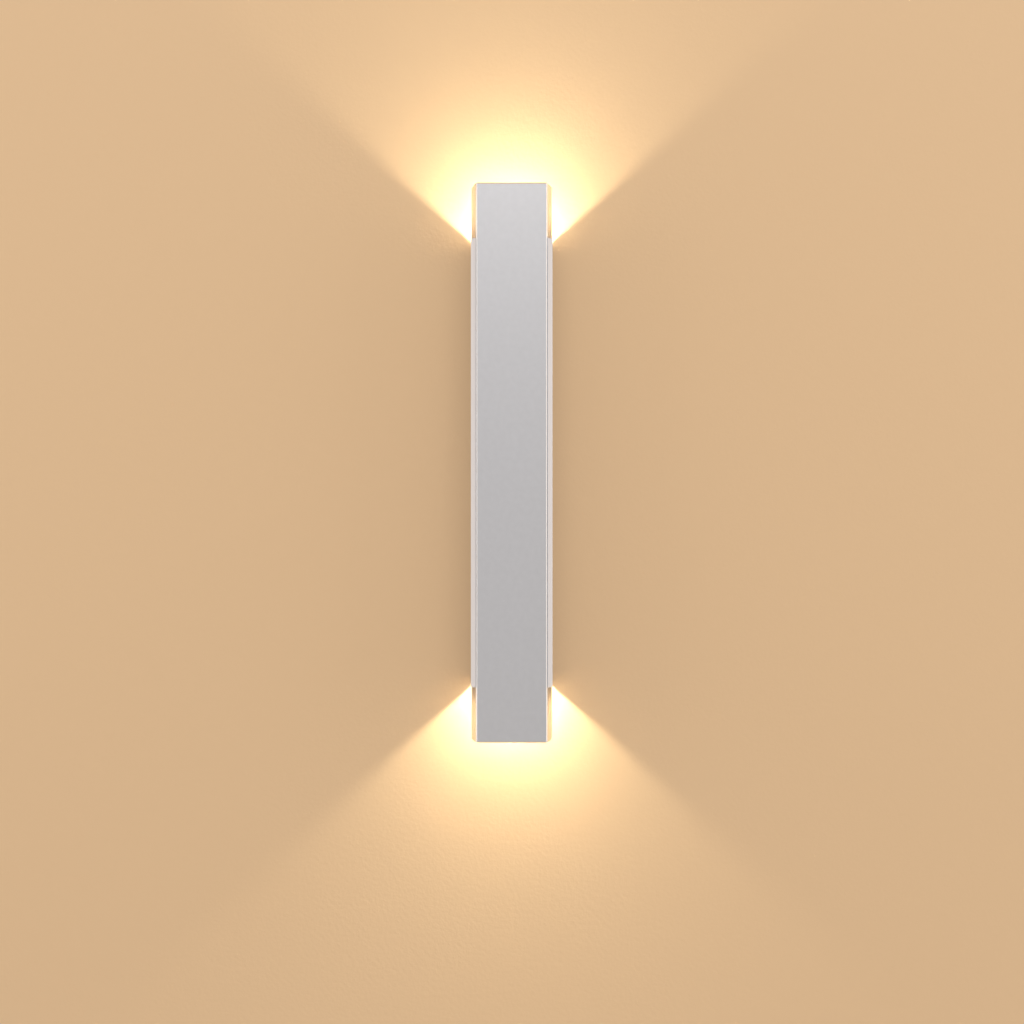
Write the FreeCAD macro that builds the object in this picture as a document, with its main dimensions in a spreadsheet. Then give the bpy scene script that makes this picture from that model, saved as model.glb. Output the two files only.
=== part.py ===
import FreeCAD, Part
import math
import os

import Sketcher
from FreeCAD import Placement, Rotation, Vector

# A slim up-and-down wall light: a satin aluminium tube that stands upright on the wall
# behind a full-length front plate, with a lamp at each end of the tube.
#
# Frame: +Z is up, the wall is the plane Y = 0 and the front faces -Y. The origin is
# the middle of the wall bracket's screw pattern, on the wall.
# Every size is in millimetres. "Reach" below is a distance out from the wall, so a
# point at that reach has Y = -reach.

SIZES = (
    # the whole light
    ("overall_height", 400.0),
    ("overall_depth", 50.0),
    ("end_overhang", 39.5),
    ("wall_gap", 1.0),
    # extruded tube
    ("tube_width", 58.4),
    ("tube_wall", 2.0),
    ("corner_cut", 3.5),
    ("rib_height", 2.0),
    ("rib_thickness", 1.2),
    # front plate, with its welded studs
    ("plate_thickness", 2.0),
    ("plate_bevel", 0.9),
    ("plate_proud", 0.5),
    ("stud_diameter", 3.0),
    ("stud_length", 5.5),
    ("stud_setback", 14.9),
    ("stud_inset", 9.5),
    ("nut_width", 5.5),
    ("nut_height", 2.4),
    # glare hood on each end
    ("hood_sheet", 1.5),
    ("hood_tuck", 0.1),
    ("hood_reach", 25.0),
    # wall bracket
    ("bracket_height", 90.0),
    ("bracket_sheet", 1.5),
    ("bracket_bend", 1.0),
    ("ear_reach", 16.0),
    ("wall_screw_spacing", 70.0),
    ("wall_slot_width", 4.5),
    ("wall_slot_length", 12.0),
    ("cable_hole", 12.0),
    ("grommet_bore", 7.0),
    ("grommet_flange", 16.0),
    ("grommet_lip", 1.5),
    # side screws that clamp the housing to the bracket
    ("clamp_reach", 12.0),
    ("clamp_row", 35.0),
    ("strip_thickness", 3.0),
    ("strip_width", 8.0),
    ("strip_end", 7.0),
    # countersunk and pan head screws
    ("screw_diameter", 3.0),
    ("countersunk_head", 5.8),
    ("clamp_screw_length", 8.0),
    ("frame_screw_length", 6.0),
    ("pan_head", 5.6),
    ("pan_head_height", 2.0),
    ("pan_screw_length", 6.0),
    # gear tray
    ("tray_reach", 21.0),
    ("tray_thickness", 1.5),
    ("gate_width", 14.0),
    ("gate_height", 10.0),
    ("gate_setback", 20.6),
    ("gate_edging", 1.0),
    # lamp at each end: well depth is from the board's face to the end of the tube
    ("well_depth", 23.5),
    ("emitter_diameter", 12.0),
    ("emitter_height", 0.8),
    ("board_side_gap", 1.9),
    ("board_edge_gap", 4.0),
    ("board_thickness", 1.6),
    ("pad_thickness", 0.5),
    ("sink_base", 5.0),
    ("sink_back", 4.0),
    ("fin_height", 20.0),
    ("fin_thickness", 1.2),
    ("fin_count", 9.0),
    ("lead_hole", 3.4),
    ("lead_inset", 3.0),
    # reflector, seal and window
    ("mirror_mouth", 18.0),
    ("mouth_gap", 2.2),
    ("mirror_wall", 1.2),
    ("mirror_side_gap", 3.4),
    ("mirror_edge_gap", 4.0),
    ("frame_step", 1.0),
    ("mirror_flange", 1.5),
    ("rim_width", 1.5),
    ("boss_width", 8.0),
    ("boss_height", 7.0),
    ("boss_lift", 5.0),
    ("window_recess", 2.5),
    ("window_thickness", 2.0),
    ("seal_thickness", 0.8),
    ("seal_width", 1.6),
    # driver
    ("driver_side_gap", 2.5),
    ("driver_setback", 35.6),
    ("driver_headroom", 1.5),
    ("driver_lift", 2.5),
    ("driver_wall", 1.6),
    ("driver_lid", 1.6),
    ("lid_lip", 1.2),
    ("lid_lip_wall", 1.0),
    ("foot_length", 8.0),
    ("foot_width", 12.0),
    ("foot_sole", 3.5),
    ("circuit_thickness", 1.6),
    ("circuit_lift", 1.4),
    ("post_diameter", 4.0),
    ("post_side_inset", 3.0),
    ("post_end_inset", 8.0),
    ("core_width", 20.0),
    ("core_length", 24.0),
    ("core_headroom", 1.3),
    ("capacitor_headroom", 1.8),
    ("capacitor_spacing", 2.0),
    ("capacitor_length", 16.0),
    ("header_length", 6.0),
    ("header_cover", 2.6),
    ("header_inset", 4.0),
    ("header_side_inset", 2.0),
    # lever terminal block
    ("block_width", 18.8),
    ("block_length", 19.0),
    ("block_height", 8.5),
    ("block_setback", 37.6),
    ("pole_pitch", 6.2),
    ("lever_width", 4.6),
    ("lever_length", 10.0),
    ("lever_thickness", 2.0),
    ("lever_setback", 3.0),
    ("arm_relief", 0.2),
    ("pin_diameter", 1.6),
    ("tunnel_width", 3.4),
    ("tunnel_height", 3.0),
    ("tunnel_floor", 1.0),
    ("contact_thickness", 0.8),
    ("contact_inset", 1.0),
    ("peg_diameter", 3.0),
    ("peg_stand", 1.5),
    ("peg_inset", 5.0),
    # leads, clips and the earth point
    ("lamp_lead", 1.6),
    ("mains_lead", 2.0),
    ("lead_drop", 0.5),
    ("lead_proud", 0.5),
    ("near_output", 4.0),
    ("far_output", 10.0),
    ("upper_bend_start", 9.0),
    ("upper_bend_end", 23.0),
    ("lower_turn", 16.0),
    ("lower_bend_start", 6.0),
    ("lower_bend_end", 30.0),
    ("supply_bend", 1.0),
    ("block_wire_seat", 6.0),
    ("earth_bend_start", 6.0),
    ("earth_bend_end", 15.0),
    ("tag_wire_seat", 5.0),
    ("clip_length", 4.0),
    ("clip_wall", 1.2),
    ("clip_row", 40.0),
    ("earth_side", 14.0),
    ("earth_setback", 8.6),
    ("earth_screw", 4.0),
    ("earth_head", 7.0),
    ("earth_ring", 8.0),
    ("tag_thickness", 0.8),
    ("tongue_width", 2.8),
    ("tongue_length", 10.0),
    ("tongue_overlap", 0.8),
    # clearances
    ("plate_clearance", 0.2),
    ("slide_clearance", 0.3),
    ("slot_clearance", 0.15),
    ("hole_clearance", 0.2),
    ("thread_clearance", 0.05),
    ("pin_clearance", 0.05),
    ("axle_clearance", 0.02),
    ("lever_clearance", 0.2),
    ("cut_overshoot", 1.0),
)

# Lines and planes that several pieces share, as formulas over the sizes.
HALF_HEIGHT = "(dims.overall_height / 2)"
TUBE_END = "(dims.overall_height / 2 - dims.end_overhang)"
SIDE = "(dims.tube_width / 2)"
INSIDE = "(dims.tube_width / 2 - dims.tube_wall)"
PLATE_BACK = "(dims.overall_depth - dims.plate_thickness)"
LIP = "(dims.overall_depth - dims.plate_proud)"
BAY_FRONT = "(dims.overall_depth - dims.plate_thickness - dims.tube_wall)"
RECESS = "(dims.tube_width / 2 - dims.corner_cut)"
PLATE_SIDE = f"({RECESS} - dims.plate_clearance)"
STUD_SIDE = f"({PLATE_SIDE} - dims.stud_inset)"
HOOD_LEVEL = "(dims.overall_height / 2 - dims.end_overhang / 2)"

TRAY_FRONT = "(dims.tray_reach + dims.tray_thickness)"
RIB_TIP = f"({INSIDE} - dims.rib_height)"
CLEAR_OF_RIBS = f"({RIB_TIP} - dims.slide_clearance)"

EAR_OUT = f"({INSIDE} - dims.slide_clearance)"
EAR_IN = f"({EAR_OUT} - dims.bracket_sheet)"
STRIP_OUT = f"({EAR_IN} - dims.slide_clearance)"

BOARD_FACE = f"({TUBE_END} - dims.well_depth)"
BOARD_BACK = f"({BOARD_FACE} - dims.board_thickness)"
SINK_FACE = f"({BOARD_BACK} - dims.pad_thickness)"
SINK_INNER = f"({SINK_FACE} - dims.sink_base)"
FIN_TIP = f"({SINK_INNER} - dims.fin_height)"
SINK_SCREW = f"({SINK_FACE} - dims.sink_base / 2)"
STUD_ROW = f"({FIN_TIP} - dims.stud_setback)"
LAMP_LINE = f"((dims.sink_back + {BAY_FRONT}) / 2)"
TRAY_END = f"({FIN_TIP} - dims.slide_clearance)"
FIN_PITCH = f"((2 * {CLEAR_OF_RIBS} - dims.fin_thickness) / (dims.fin_count - 1))"
NEAR_GAP = f"(1.5 * {FIN_PITCH})"
SCREW_GAP = f"(2.5 * {FIN_PITCH})"
FAR_GAP = f"(3.5 * {FIN_PITCH})"
LEAD_TIP = f"({BOARD_FACE} + dims.lead_proud)"
BOARD_SIDE = f"({CLEAR_OF_RIBS} - dims.board_side_gap)"
BOARD_HALF_DEPTH = f"({LAMP_LINE} - dims.sink_back - dims.board_edge_gap)"
LEAD_HOLE_LINE = f"({LAMP_LINE} + {BOARD_HALF_DEPTH} - dims.lead_inset)"

WINDOW_FACE = f"({TUBE_END} - dims.window_recess)"
WINDOW_SEAT = f"({WINDOW_FACE} - dims.window_thickness)"
FLANGE_FACE = f"({WINDOW_SEAT} - dims.seal_thickness)"
FLANGE_BACK = f"({FLANGE_FACE} - dims.mirror_flange)"
FRAME_BACK = "(dims.sink_back - dims.frame_step)"
FRAME_FRONT = f"({BAY_FRONT} - dims.slide_clearance)"
PANE_SIDE = f"({CLEAR_OF_RIBS} - dims.rim_width - dims.plate_clearance)"
PANE_BACK = f"({FRAME_BACK} + dims.rim_width + dims.plate_clearance)"
PANE_FRONT = f"({FRAME_FRONT} - dims.rim_width - dims.plate_clearance)"
BOSS_SCREW = f"({BOARD_FACE} + dims.boss_height / 2 + dims.boss_lift)"
MOUTH_SIDE = f"({SCREW_GAP} - dims.pan_head / 2 - dims.mirror_wall - dims.mouth_gap)"
MIRROR_SIDE = f"({CLEAR_OF_RIBS} - dims.mirror_side_gap)"
MIRROR_HALF_DEPTH = f"({LAMP_LINE} - {FRAME_BACK} - dims.mirror_edge_gap)"

DRIVER_BACK = f"({TRAY_FRONT} + dims.driver_lift)"
DRIVER_FRONT = f"({PLATE_BACK} - dims.stud_length - dims.driver_headroom)"
LID_BACK = f"({DRIVER_FRONT} - dims.driver_lid)"
DRIVER_FLOOR = f"({DRIVER_BACK} + dims.driver_wall)"
DRIVER_SIDE = f"({FAR_GAP} - dims.lamp_lead / 2 - dims.driver_side_gap)"
DRIVER_END = f"({TRAY_END} - dims.driver_setback)"
CIRCUIT_BACK = f"({DRIVER_FLOOR} + dims.circuit_lift)"
CIRCUIT_FACE = f"({CIRCUIT_BACK} + dims.circuit_thickness)"
CIRCUIT_SIDE = f"({DRIVER_SIDE} - dims.driver_wall - dims.slide_clearance)"
CIRCUIT_END = f"({DRIVER_END} - dims.driver_wall - dims.slide_clearance)"
FOOT_SCREW = f"({DRIVER_END} + dims.foot_length / 2)"
HEADER_FACE = f"({CIRCUIT_END} - dims.header_inset)"
CAPACITOR = f"({LID_BACK} - {CIRCUIT_FACE} - dims.capacitor_headroom)"
LEAD_LEVEL = f"(({CIRCUIT_FACE} + {LID_BACK}) / 2 - dims.lead_drop)"

BLOCK_BACK = "(dims.tray_reach - dims.block_height)"
BLOCK_BOTTOM = f"({TRAY_END} - dims.block_setback)"
BLOCK_TOP = f"({BLOCK_BOTTOM} - dims.block_length)"
PEG_LEVEL = f"-({BLOCK_BOTTOM} - dims.peg_inset)"
PIVOT_LEVEL = f"({BLOCK_TOP} + dims.lever_setback)"
PIVOT_REACH = f"({BLOCK_BACK} + dims.lever_thickness)"
TUNNEL_BACK = f"({PIVOT_REACH} + dims.lever_thickness + dims.tunnel_floor)"
TUNNEL_FRONT = f"({TUNNEL_BACK} + dims.tunnel_height)"
CONTACT_FACE = f"({TUNNEL_FRONT} - dims.contact_thickness)"
LEAD_LINE = f"({CONTACT_FACE} - dims.mains_lead / 2 - dims.thread_clearance)"
GATE_LEVEL = f"({TRAY_END} - dims.gate_setback)"
EARTH_LEVEL = f"({TRAY_END} - dims.earth_setback)"

SCREW_CLEARANCE = "(dims.screw_diameter + 2 * dims.hole_clearance)"
TAPPED = "(dims.screw_diameter + 2 * dims.thread_clearance)"

POLES = (("live", -1), ("neutral", 0), ("earth", 1))
SIDES = (-1, 1)
ENDS = (("upper", 0), ("lower", 180))
LEAD_SIDES = 8

doc = FreeCAD.newDocument("tube_wall_light")
sheet = doc.addObject("Spreadsheet::Sheet", "dims")
for row, (alias, size) in enumerate(SIZES, start=1):
    sheet.set(f"A{row}", alias)
    sheet.set(f"B{row}", str(size))
    sheet.setAlias(f"B{row}", alias)
doc.recompute()

nodes = []


# ---------------------------------------------------------------- small helpers

def number(formula):
    """The value of a formula over the sizes."""
    value = sheet.evalExpression(formula)
    return float(getattr(value, "Value", value))


def at(reach):
    """The Y coordinate, as a formula, of a point at this reach from the wall."""
    return f"-({reach})"


def span(low, high):
    return f"({high}) - ({low})"


def new_body(label, turned=0):
    """A piece that starts empty; turned by 180 about Y it serves the other end."""
    body = doc.addObject("PartDesign::Body", label)
    body.Label = label
    body.AllowCompound = True
    body.Placement = Placement(Vector(0, 0, 0), Rotation(Vector(0, 1, 0), turned))
    nodes.append(body)
    return body


def datum(body, role):
    return next(item for item in body.Origin.OriginFeatures if item.Role == role)


def sketch_on(body, name, plane, offset="0"):
    """An empty sketch on one of the body's own planes, moved along its normal.

    On XZ the normal is -Y, so the offset there is a reach from the wall.
    """
    plan = body.newObject("Sketcher::SketchObject", f"{body.Label}_{name}")
    plan.AttachmentSupport = [(datum(body, plane), "")]
    plan.MapMode = "FlatFace"
    plan.setExpression("AttachmentOffset.Base.z", offset)
    return plan


def hold(plan, kind, places, formula):
    """Pins a length or a coordinate of the sketch to a formula."""
    index = plan.addConstraint(Sketcher.Constraint(kind, *places, number(formula)))
    plan.setExpression(f"Constraints[{index}]", formula)


def hold_point(plan, item, end, point):
    hold(plan, "DistanceX", (-1, 1, item, end), point[0])
    hold(plan, "DistanceY", (-1, 1, item, end), point[1])


def outline(plan, points):
    """A closed outline of straight edges through points given as formulas."""
    corners = [Vector(number(x), number(y), 0) for x, y in points]
    first = plan.GeometryCount
    count = len(points)
    for index in range(count):
        edge = Part.LineSegment(corners[index], corners[(index + 1) % count])
        plan.addGeometry(edge, False)
    for index in range(count):
        following = first + (index + 1) % count
        plan.addConstraint(Sketcher.Constraint("Coincident", first + index, 2, following, 1))
    for index, point in enumerate(points):
        hold_point(plan, first + index, 1, point)


def rectangle(plan, left, right, low, high):
    outline(plan, ((left, low), (right, low), (right, high), (left, high)))


def circle(plan, x, y, diameter):
    centre = Vector(number(x), number(y), 0)
    item = plan.addGeometry(Part.Circle(centre, Vector(0, 0, 1), number(diameter) / 2), False)
    hold_point(plan, item, 3, (x, y))
    hold(plan, "Diameter", (item,), diameter)


def upright_slot(plan, x, y, width, length):
    """A slot with round ends, its long way along the sketch's second axis."""
    radius = number(width) / 2
    reach = f"(({length}) - ({width})) / 2"
    left, right = f"({x}) - ({width}) / 2", f"({x}) + ({width}) / 2"
    low, high = f"({y}) - ({reach})", f"({y}) + ({reach})"
    corners = [Vector(number(a), number(b), 0)
               for a, b in ((right, low), (right, high), (left, high), (left, low))]
    top = Part.Circle(Vector(number(x), number(high), 0), Vector(0, 0, 1), radius)
    foot = Part.Circle(Vector(number(x), number(low), 0), Vector(0, 0, 1), radius)
    rise = plan.addGeometry(Part.LineSegment(corners[0], corners[1]), False)
    cap = plan.addGeometry(Part.ArcOfCircle(top, 0, math.pi), False)
    fall = plan.addGeometry(Part.LineSegment(corners[2], corners[3]), False)
    cup = plan.addGeometry(Part.ArcOfCircle(foot, math.pi, 2 * math.pi), False)
    for one, other in ((rise, cap), (cap, fall), (fall, cup), (cup, rise)):
        plan.addConstraint(Sketcher.Constraint("Coincident", one, 2, other, 1))
    for item, end, point in ((rise, 1, (right, low)), (rise, 2, (right, high)),
                             (fall, 1, (left, high)), (fall, 2, (left, low))):
        hold_point(plan, item, end, point)
    hold(plan, "DistanceY", (-1, 1, cap, 3), high)
    hold(plan, "DistanceY", (-1, 1, cup, 3), low)


def pad(body, plan, length, symmetric=False, back=False, taper=None):
    """Raises the sketch along its normal, or against it when back is set."""
    solid = body.newObject("PartDesign::Pad", f"{plan.Name}_pad")
    solid.Profile = plan
    solid.setExpression("Length", length)
    solid.SideType = "Symmetric" if symmetric else "One side"
    solid.Reversed = back
    if taper is not None:
        solid.TaperAngle = taper
    doc.recompute()
    return solid


def removed_something(body, before, feature):
    doc.recompute()
    if before - body.Shape.Volume < 1e-3:
        raise RuntimeError(f"{feature.Name} cuts nothing")
    return feature


def pocket(body, plan, depth, symmetric=False, back=False):
    """Cuts the sketch into the body against its normal, or along it if back is set."""
    before = body.Shape.Volume
    cut = body.newObject("PartDesign::Pocket", f"{plan.Name}_cut")
    cut.Profile = plan
    cut.setExpression("Length", depth)
    cut.SideType = "Symmetric" if symmetric else "One side"
    cut.Reversed = back
    return removed_something(body, before, cut)


def countersunk_holes(body, plan, depth):
    """Clearance holes for the countersunk screws at the sketch's circles."""
    doc.recompute()
    before = body.Shape.Volume
    hole = body.newObject("PartDesign::Hole", f"{plan.Name}_hole")
    hole.Profile = plan
    hole.DepthType = "Dimension"
    hole.DrillPoint = "Flat"
    hole.setExpression("Depth", depth)
    hole.setExpression("Diameter", SCREW_CLEARANCE)
    hole.HoleCutType = "Countersink"
    hole.HoleCutCustomValues = True
    hole.setExpression("HoleCutDiameter", "dims.countersunk_head + dims.hole_clearance")
    hole.HoleCutCountersinkAngle = 90
    return removed_something(body, before, hole)


def mirrored(body, features, plane):
    copy = body.newObject("PartDesign::Mirrored", f"{features[0].Name}_mirror")
    copy.Originals = features
    copy.MirrorPlane = (datum(body, plane), [""])
    body.Tip = copy
    doc.recompute()
    return copy


def edges_where(shape, wanted, upright=False):
    """Names of the edges whose two ends meet the condition; upright keeps those along Z."""
    names = []
    for index, edge in enumerate(shape.Edges, start=1):
        ends = [vertex.Point for vertex in edge.Vertexes]
        if len(ends) != 2 or not all(wanted(point) for point in ends):
            continue
        if upright and not near(ends[0].x, ends[1].x):
            continue
        names.append(f"Edge{index}")
    return names


def near(value, target):
    return abs(value - target) < 1e-4


def box(label, x, reach, z):
    """A plain block between two values each of x, reach from the wall, and z."""
    block = doc.addObject("Part::Box", label)
    block.Label = label
    block.setExpression("Length", span(*x))
    block.setExpression("Width", span(*reach))
    block.setExpression("Height", span(*z))
    block.setExpression("Placement.Base.x", x[0])
    block.setExpression("Placement.Base.y", at(reach[1]))
    block.setExpression("Placement.Base.z", z[0])
    return block


def both_ways(half):
    return (f"-({half})", half)


# ---------------------------------------------------------------- wall side

def wall_bracket():
    """Folded steel U: a back on the wall and two ears with slots open to the front."""
    body = new_body("wall_bracket")
    plan = sketch_on(body, "section", "XY_Plane")
    half = ((EAR_OUT, "0"), (EAR_OUT, at("dims.ear_reach")),
            (EAR_IN, at("dims.ear_reach")), (EAR_IN, at("dims.bracket_sheet")))
    other = tuple((f"-({x})", y) for x, y in reversed(half))
    outline(plan, half + other)
    folded = pad(body, plan, "dims.bracket_height", symmetric=True)

    out, inner = number(EAR_OUT), number(EAR_IN)
    sheet_line = -number("dims.bracket_sheet")
    bends = (
        ("outer", "dims.bracket_bend + dims.bracket_sheet",
         lambda p: near(abs(p.x), out) and near(p.y, 0)),
        ("inner", "dims.bracket_bend",
         lambda p: near(abs(p.x), inner) and near(p.y, sheet_line)),
    )
    base = folded
    for name, radius, wanted in bends:
        bend = body.newObject("PartDesign::Fillet", f"bracket_{name}_bend")
        bend.Base = (base, edges_where(base.Shape, wanted, upright=True))
        bend.setExpression("Radius", radius)
        doc.recompute()
        base = bend

    holes = sketch_on(body, "holes", "XZ_Plane", "dims.bracket_sheet")
    circle(holes, "0", "0", "dims.cable_hole")
    for side in SIDES:
        upright_slot(holes, "0", f"{side} * dims.wall_screw_spacing / 2",
                     "dims.wall_slot_width", "dims.wall_slot_length")
    pocket(body, holes, "dims.bracket_sheet")

    slots = sketch_on(body, "ear_slots", "YZ_Plane")
    width = "(dims.screw_diameter + 2 * dims.slide_clearance)"
    for side in SIDES:
        level = f"{side} * dims.clamp_row"
        open_slot(slots, "dims.clamp_reach", level, width, "dims.ear_reach + dims.cut_overshoot")
    pocket(body, slots, "dims.tube_width", symmetric=True)


def open_slot(plan, reach, level, width, mouth):
    """A slot along Y with a round inner end about the screw and an open front."""
    radius = number(width) / 2
    low, high = f"({level}) - ({width}) / 2", f"({level}) + ({width}) / 2"
    y, front = at(reach), at(mouth)
    corners = [Vector(number(a), number(b), 0)
               for a, b in ((y, low), (front, low), (front, high), (y, high))]
    items = [plan.addGeometry(Part.LineSegment(corners[index], corners[index + 1]), False)
             for index in range(3)]
    centre = Part.Circle(Vector(number(y), number(level), 0), Vector(0, 0, 1), radius)
    arc = plan.addGeometry(Part.ArcOfCircle(centre, -math.pi / 2, math.pi / 2), False)
    plan.addConstraint(Sketcher.Constraint("Coincident", items[0], 2, items[1], 1))
    plan.addConstraint(Sketcher.Constraint("Coincident", items[1], 2, items[2], 1))
    plan.addConstraint(Sketcher.Constraint("Coincident", items[2], 2, arc, 2))
    plan.addConstraint(Sketcher.Constraint("Coincident", arc, 1, items[0], 1))
    hold_point(plan, items[0], 1, (y, low))
    hold_point(plan, items[1], 1, (front, low))
    hold_point(plan, items[2], 1, (front, high))
    hold_point(plan, items[2], 2, (y, high))
    hold(plan, "DistanceX", (-1, 1, arc, 3), y)


def cable_grommet():
    """Rubber bush in the bracket's cable hole, with its flange on the front."""
    body = new_body("cable_grommet")
    plan = sketch_on(body, "profile", "XY_Plane")
    bore, flange = "dims.grommet_bore / 2", "dims.grommet_flange / 2"
    neck = "dims.cable_hole / 2 - dims.thread_clearance"
    front = at("dims.bracket_sheet + dims.grommet_lip")
    shoulder = at("dims.bracket_sheet")
    outline(plan, ((bore, "0"), (neck, "0"), (neck, shoulder),
                   (flange, shoulder), (flange, front), (bore, front)))
    ring = body.newObject("PartDesign::Revolution", "grommet_ring")
    ring.Profile = plan
    ring.ReferenceAxis = (plan, ["V_Axis"])
    ring.Angle = 360
    doc.recompute()


# ---------------------------------------------------------------- housing

def housing_tube():
    """Extruded tube, open at the back, with cut front corners and two tray grooves."""
    body = new_body("housing_tube")
    plan = sketch_on(body, "section", "XY_Plane")
    cut_line = f"({RECESS} + {LIP})"
    inner_line = f"({cut_line} - sqrt(2) * dims.tube_wall)"
    back_rib = "(dims.tray_reach - dims.slot_clearance)"
    front_rib = f"({TRAY_FRONT} + dims.slot_clearance)"
    half = (
        (RECESS, PLATE_BACK),
        (RECESS, LIP),
        (SIDE, f"{cut_line} - {SIDE}"),
        (SIDE, "dims.wall_gap"),
        (INSIDE, "dims.wall_gap"),
        (INSIDE, f"{back_rib} - dims.rib_thickness"),
        (RIB_TIP, f"{back_rib} - dims.rib_thickness"),
        (RIB_TIP, back_rib),
        (INSIDE, back_rib),
        (INSIDE, front_rib),
        (RIB_TIP, front_rib),
        (RIB_TIP, f"{front_rib} + dims.rib_thickness"),
        (INSIDE, f"{front_rib} + dims.rib_thickness"),
        (INSIDE, f"{inner_line} - {INSIDE}"),
        (f"{inner_line} - {BAY_FRONT}", BAY_FRONT),
    )
    right = tuple((x, at(reach)) for x, reach in half)
    left = tuple((f"-({x})", y) for x, y in reversed(right))
    outline(plan, right + left)
    pad(body, plan, f"2 * {TUBE_END}", symmetric=True)

    studs = sketch_on(body, "stud_holes", "XZ_Plane", PLATE_BACK)
    for x, z in tube_studs():
        circle(studs, x, z, "dims.stud_diameter + 2 * dims.hole_clearance")
    pocket(body, studs, "dims.tube_wall")

    screws = sketch_on(body, "frame_holes", "XZ_Plane", PLATE_BACK)
    for x, z in frame_screw_places():
        circle(screws, x, z, SCREW_CLEARANCE)
    countersunk_holes(body, screws, "dims.tube_wall + dims.cut_overshoot")

    clamps = sketch_on(body, "clamp_holes", "YZ_Plane", SIDE)
    for row_side in SIDES:
        circle(clamps, at("dims.clamp_reach"), f"{row_side} * dims.clamp_row", SCREW_CLEARANCE)
    drilled = countersunk_holes(body, clamps, "dims.tube_wall + dims.cut_overshoot")
    mirrored(body, [drilled], "YZ_Plane")


def tube_studs():
    return [(f"{side} * {STUD_SIDE}", f"{row} * {STUD_ROW}")
            for side in SIDES for row in (-1, 0, 1)]


def hood_studs():
    return [(f"{side} * {STUD_SIDE}", f"{end} * {HOOD_LEVEL}")
            for side in SIDES for end in SIDES]


def frame_screw_places():
    """Screws behind the front plate: into the heat sinks and the reflectors."""
    return [(f"{side} * {SCREW_GAP}", f"{end} * {level}")
            for side in SIDES for end in SIDES for level in (SINK_SCREW, BOSS_SCREW)]


def front_plate():
    """Full-length face with bevelled edges and studs welded to its back."""
    body = new_body("front_plate")
    plan = sketch_on(body, "face", "XZ_Plane", PLATE_BACK)
    rectangle(plan, *both_ways(PLATE_SIDE), *both_ways(HALF_HEIGHT))
    slab = pad(body, plan, "dims.plate_thickness")
    front = -number("dims.overall_depth")
    bevel = body.newObject("PartDesign::Chamfer", "plate_bevel")
    bevel.Base = (slab, edges_where(slab.Shape, lambda p: near(p.y, front)))
    bevel.setExpression("Size", "dims.plate_bevel")
    doc.recompute()
    studs = sketch_on(body, "studs", "XZ_Plane", PLATE_BACK)
    for x, z in tube_studs() + hood_studs():
        circle(studs, x, z, "dims.stud_diameter")
    pad(body, studs, "dims.stud_length", back=True)


def stud_nuts():
    """Hexagon nuts on the plate's studs, on the tube's wall and on the hoods' webs."""
    body = new_body("stud_nuts")
    seats = (("tube", BAY_FRONT, tube_studs()),
             ("hood", f"({PLATE_BACK} - dims.hood_sheet)", hood_studs()))
    for name, seat, places in seats:
        plan = sketch_on(body, name, "XZ_Plane", seat)
        for x, z in places:
            hexagon(plan, x, z, "dims.nut_width")
            circle(plan, x, z, "dims.stud_diameter + 2 * dims.thread_clearance")
        pad(body, plan, "dims.nut_height", back=True)


def hexagon(plan, x, y, width):
    """Six corners about a point, with the flats this width apart."""
    points = []
    for index in range(6):
        turn = 60 * index
        points.append((f"({x}) + {width} / sqrt(3) * cos({turn})",
                       f"({y}) + {width} / sqrt(3) * sin({turn})"))
    outline(plan, points)


def glare_hood(end, turned):
    """Folded hood over an end: a web behind the plate, and two flared flanks."""
    body = new_body(f"{end}_hood", turned)
    plan = sketch_on(body, "section", "XY_Plane", TUBE_END)
    front = f"({PLATE_SIDE} - dims.hood_tuck)"
    flare = f"(({SIDE} - {front}) / ({PLATE_BACK} - dims.hood_reach))"
    corner = f"({front} + dims.hood_sheet * {flare} - dims.hood_sheet)"
    half = ((front, at(PLATE_BACK)), (SIDE, at("dims.hood_reach")),
            (f"{SIDE} - dims.hood_sheet", at("dims.hood_reach")),
            (corner, at(f"{PLATE_BACK} - dims.hood_sheet")))
    other = tuple((f"-({x})", y) for x, y in reversed(half))
    outline(plan, half + other)
    pad(body, plan, "dims.end_overhang")
    holes = sketch_on(body, "stud_holes", "XZ_Plane", PLATE_BACK)
    for side in SIDES:
        circle(holes, f"{side} * {STUD_SIDE}", HOOD_LEVEL,
               "dims.stud_diameter + 2 * dims.hole_clearance")
    pocket(body, holes, "dims.hood_sheet")


def countersunk_screws(label, plane, face, places, length, both_sides):
    """Countersunk screws sunk flush with a face, heads outward."""
    body = new_body(label)
    heads = sketch_on(body, "heads", plane, face)
    shanks = sketch_on(body, "shanks", plane, face)
    for first, second in places:
        circle(heads, first, second, "dims.countersunk_head")
        circle(shanks, first, second, "dims.screw_diameter")
    taper_height = "(dims.countersunk_head - dims.screw_diameter) / 2"
    cones = pad(body, heads, taper_height, back=True, taper=-45)
    rods = pad(body, shanks, length, back=True)
    if both_sides:
        mirrored(body, [cones, rods], "YZ_Plane")


def clamp_screws():
    places = [(at("dims.clamp_reach"), f"{side} * dims.clamp_row") for side in SIDES]
    countersunk_screws("side_screws", "YZ_Plane", SIDE, places,
                       "dims.clamp_screw_length", True)


def frame_screws():
    countersunk_screws("frame_screws", "XZ_Plane", PLATE_BACK, frame_screw_places(),
                       "dims.frame_screw_length", False)


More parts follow.
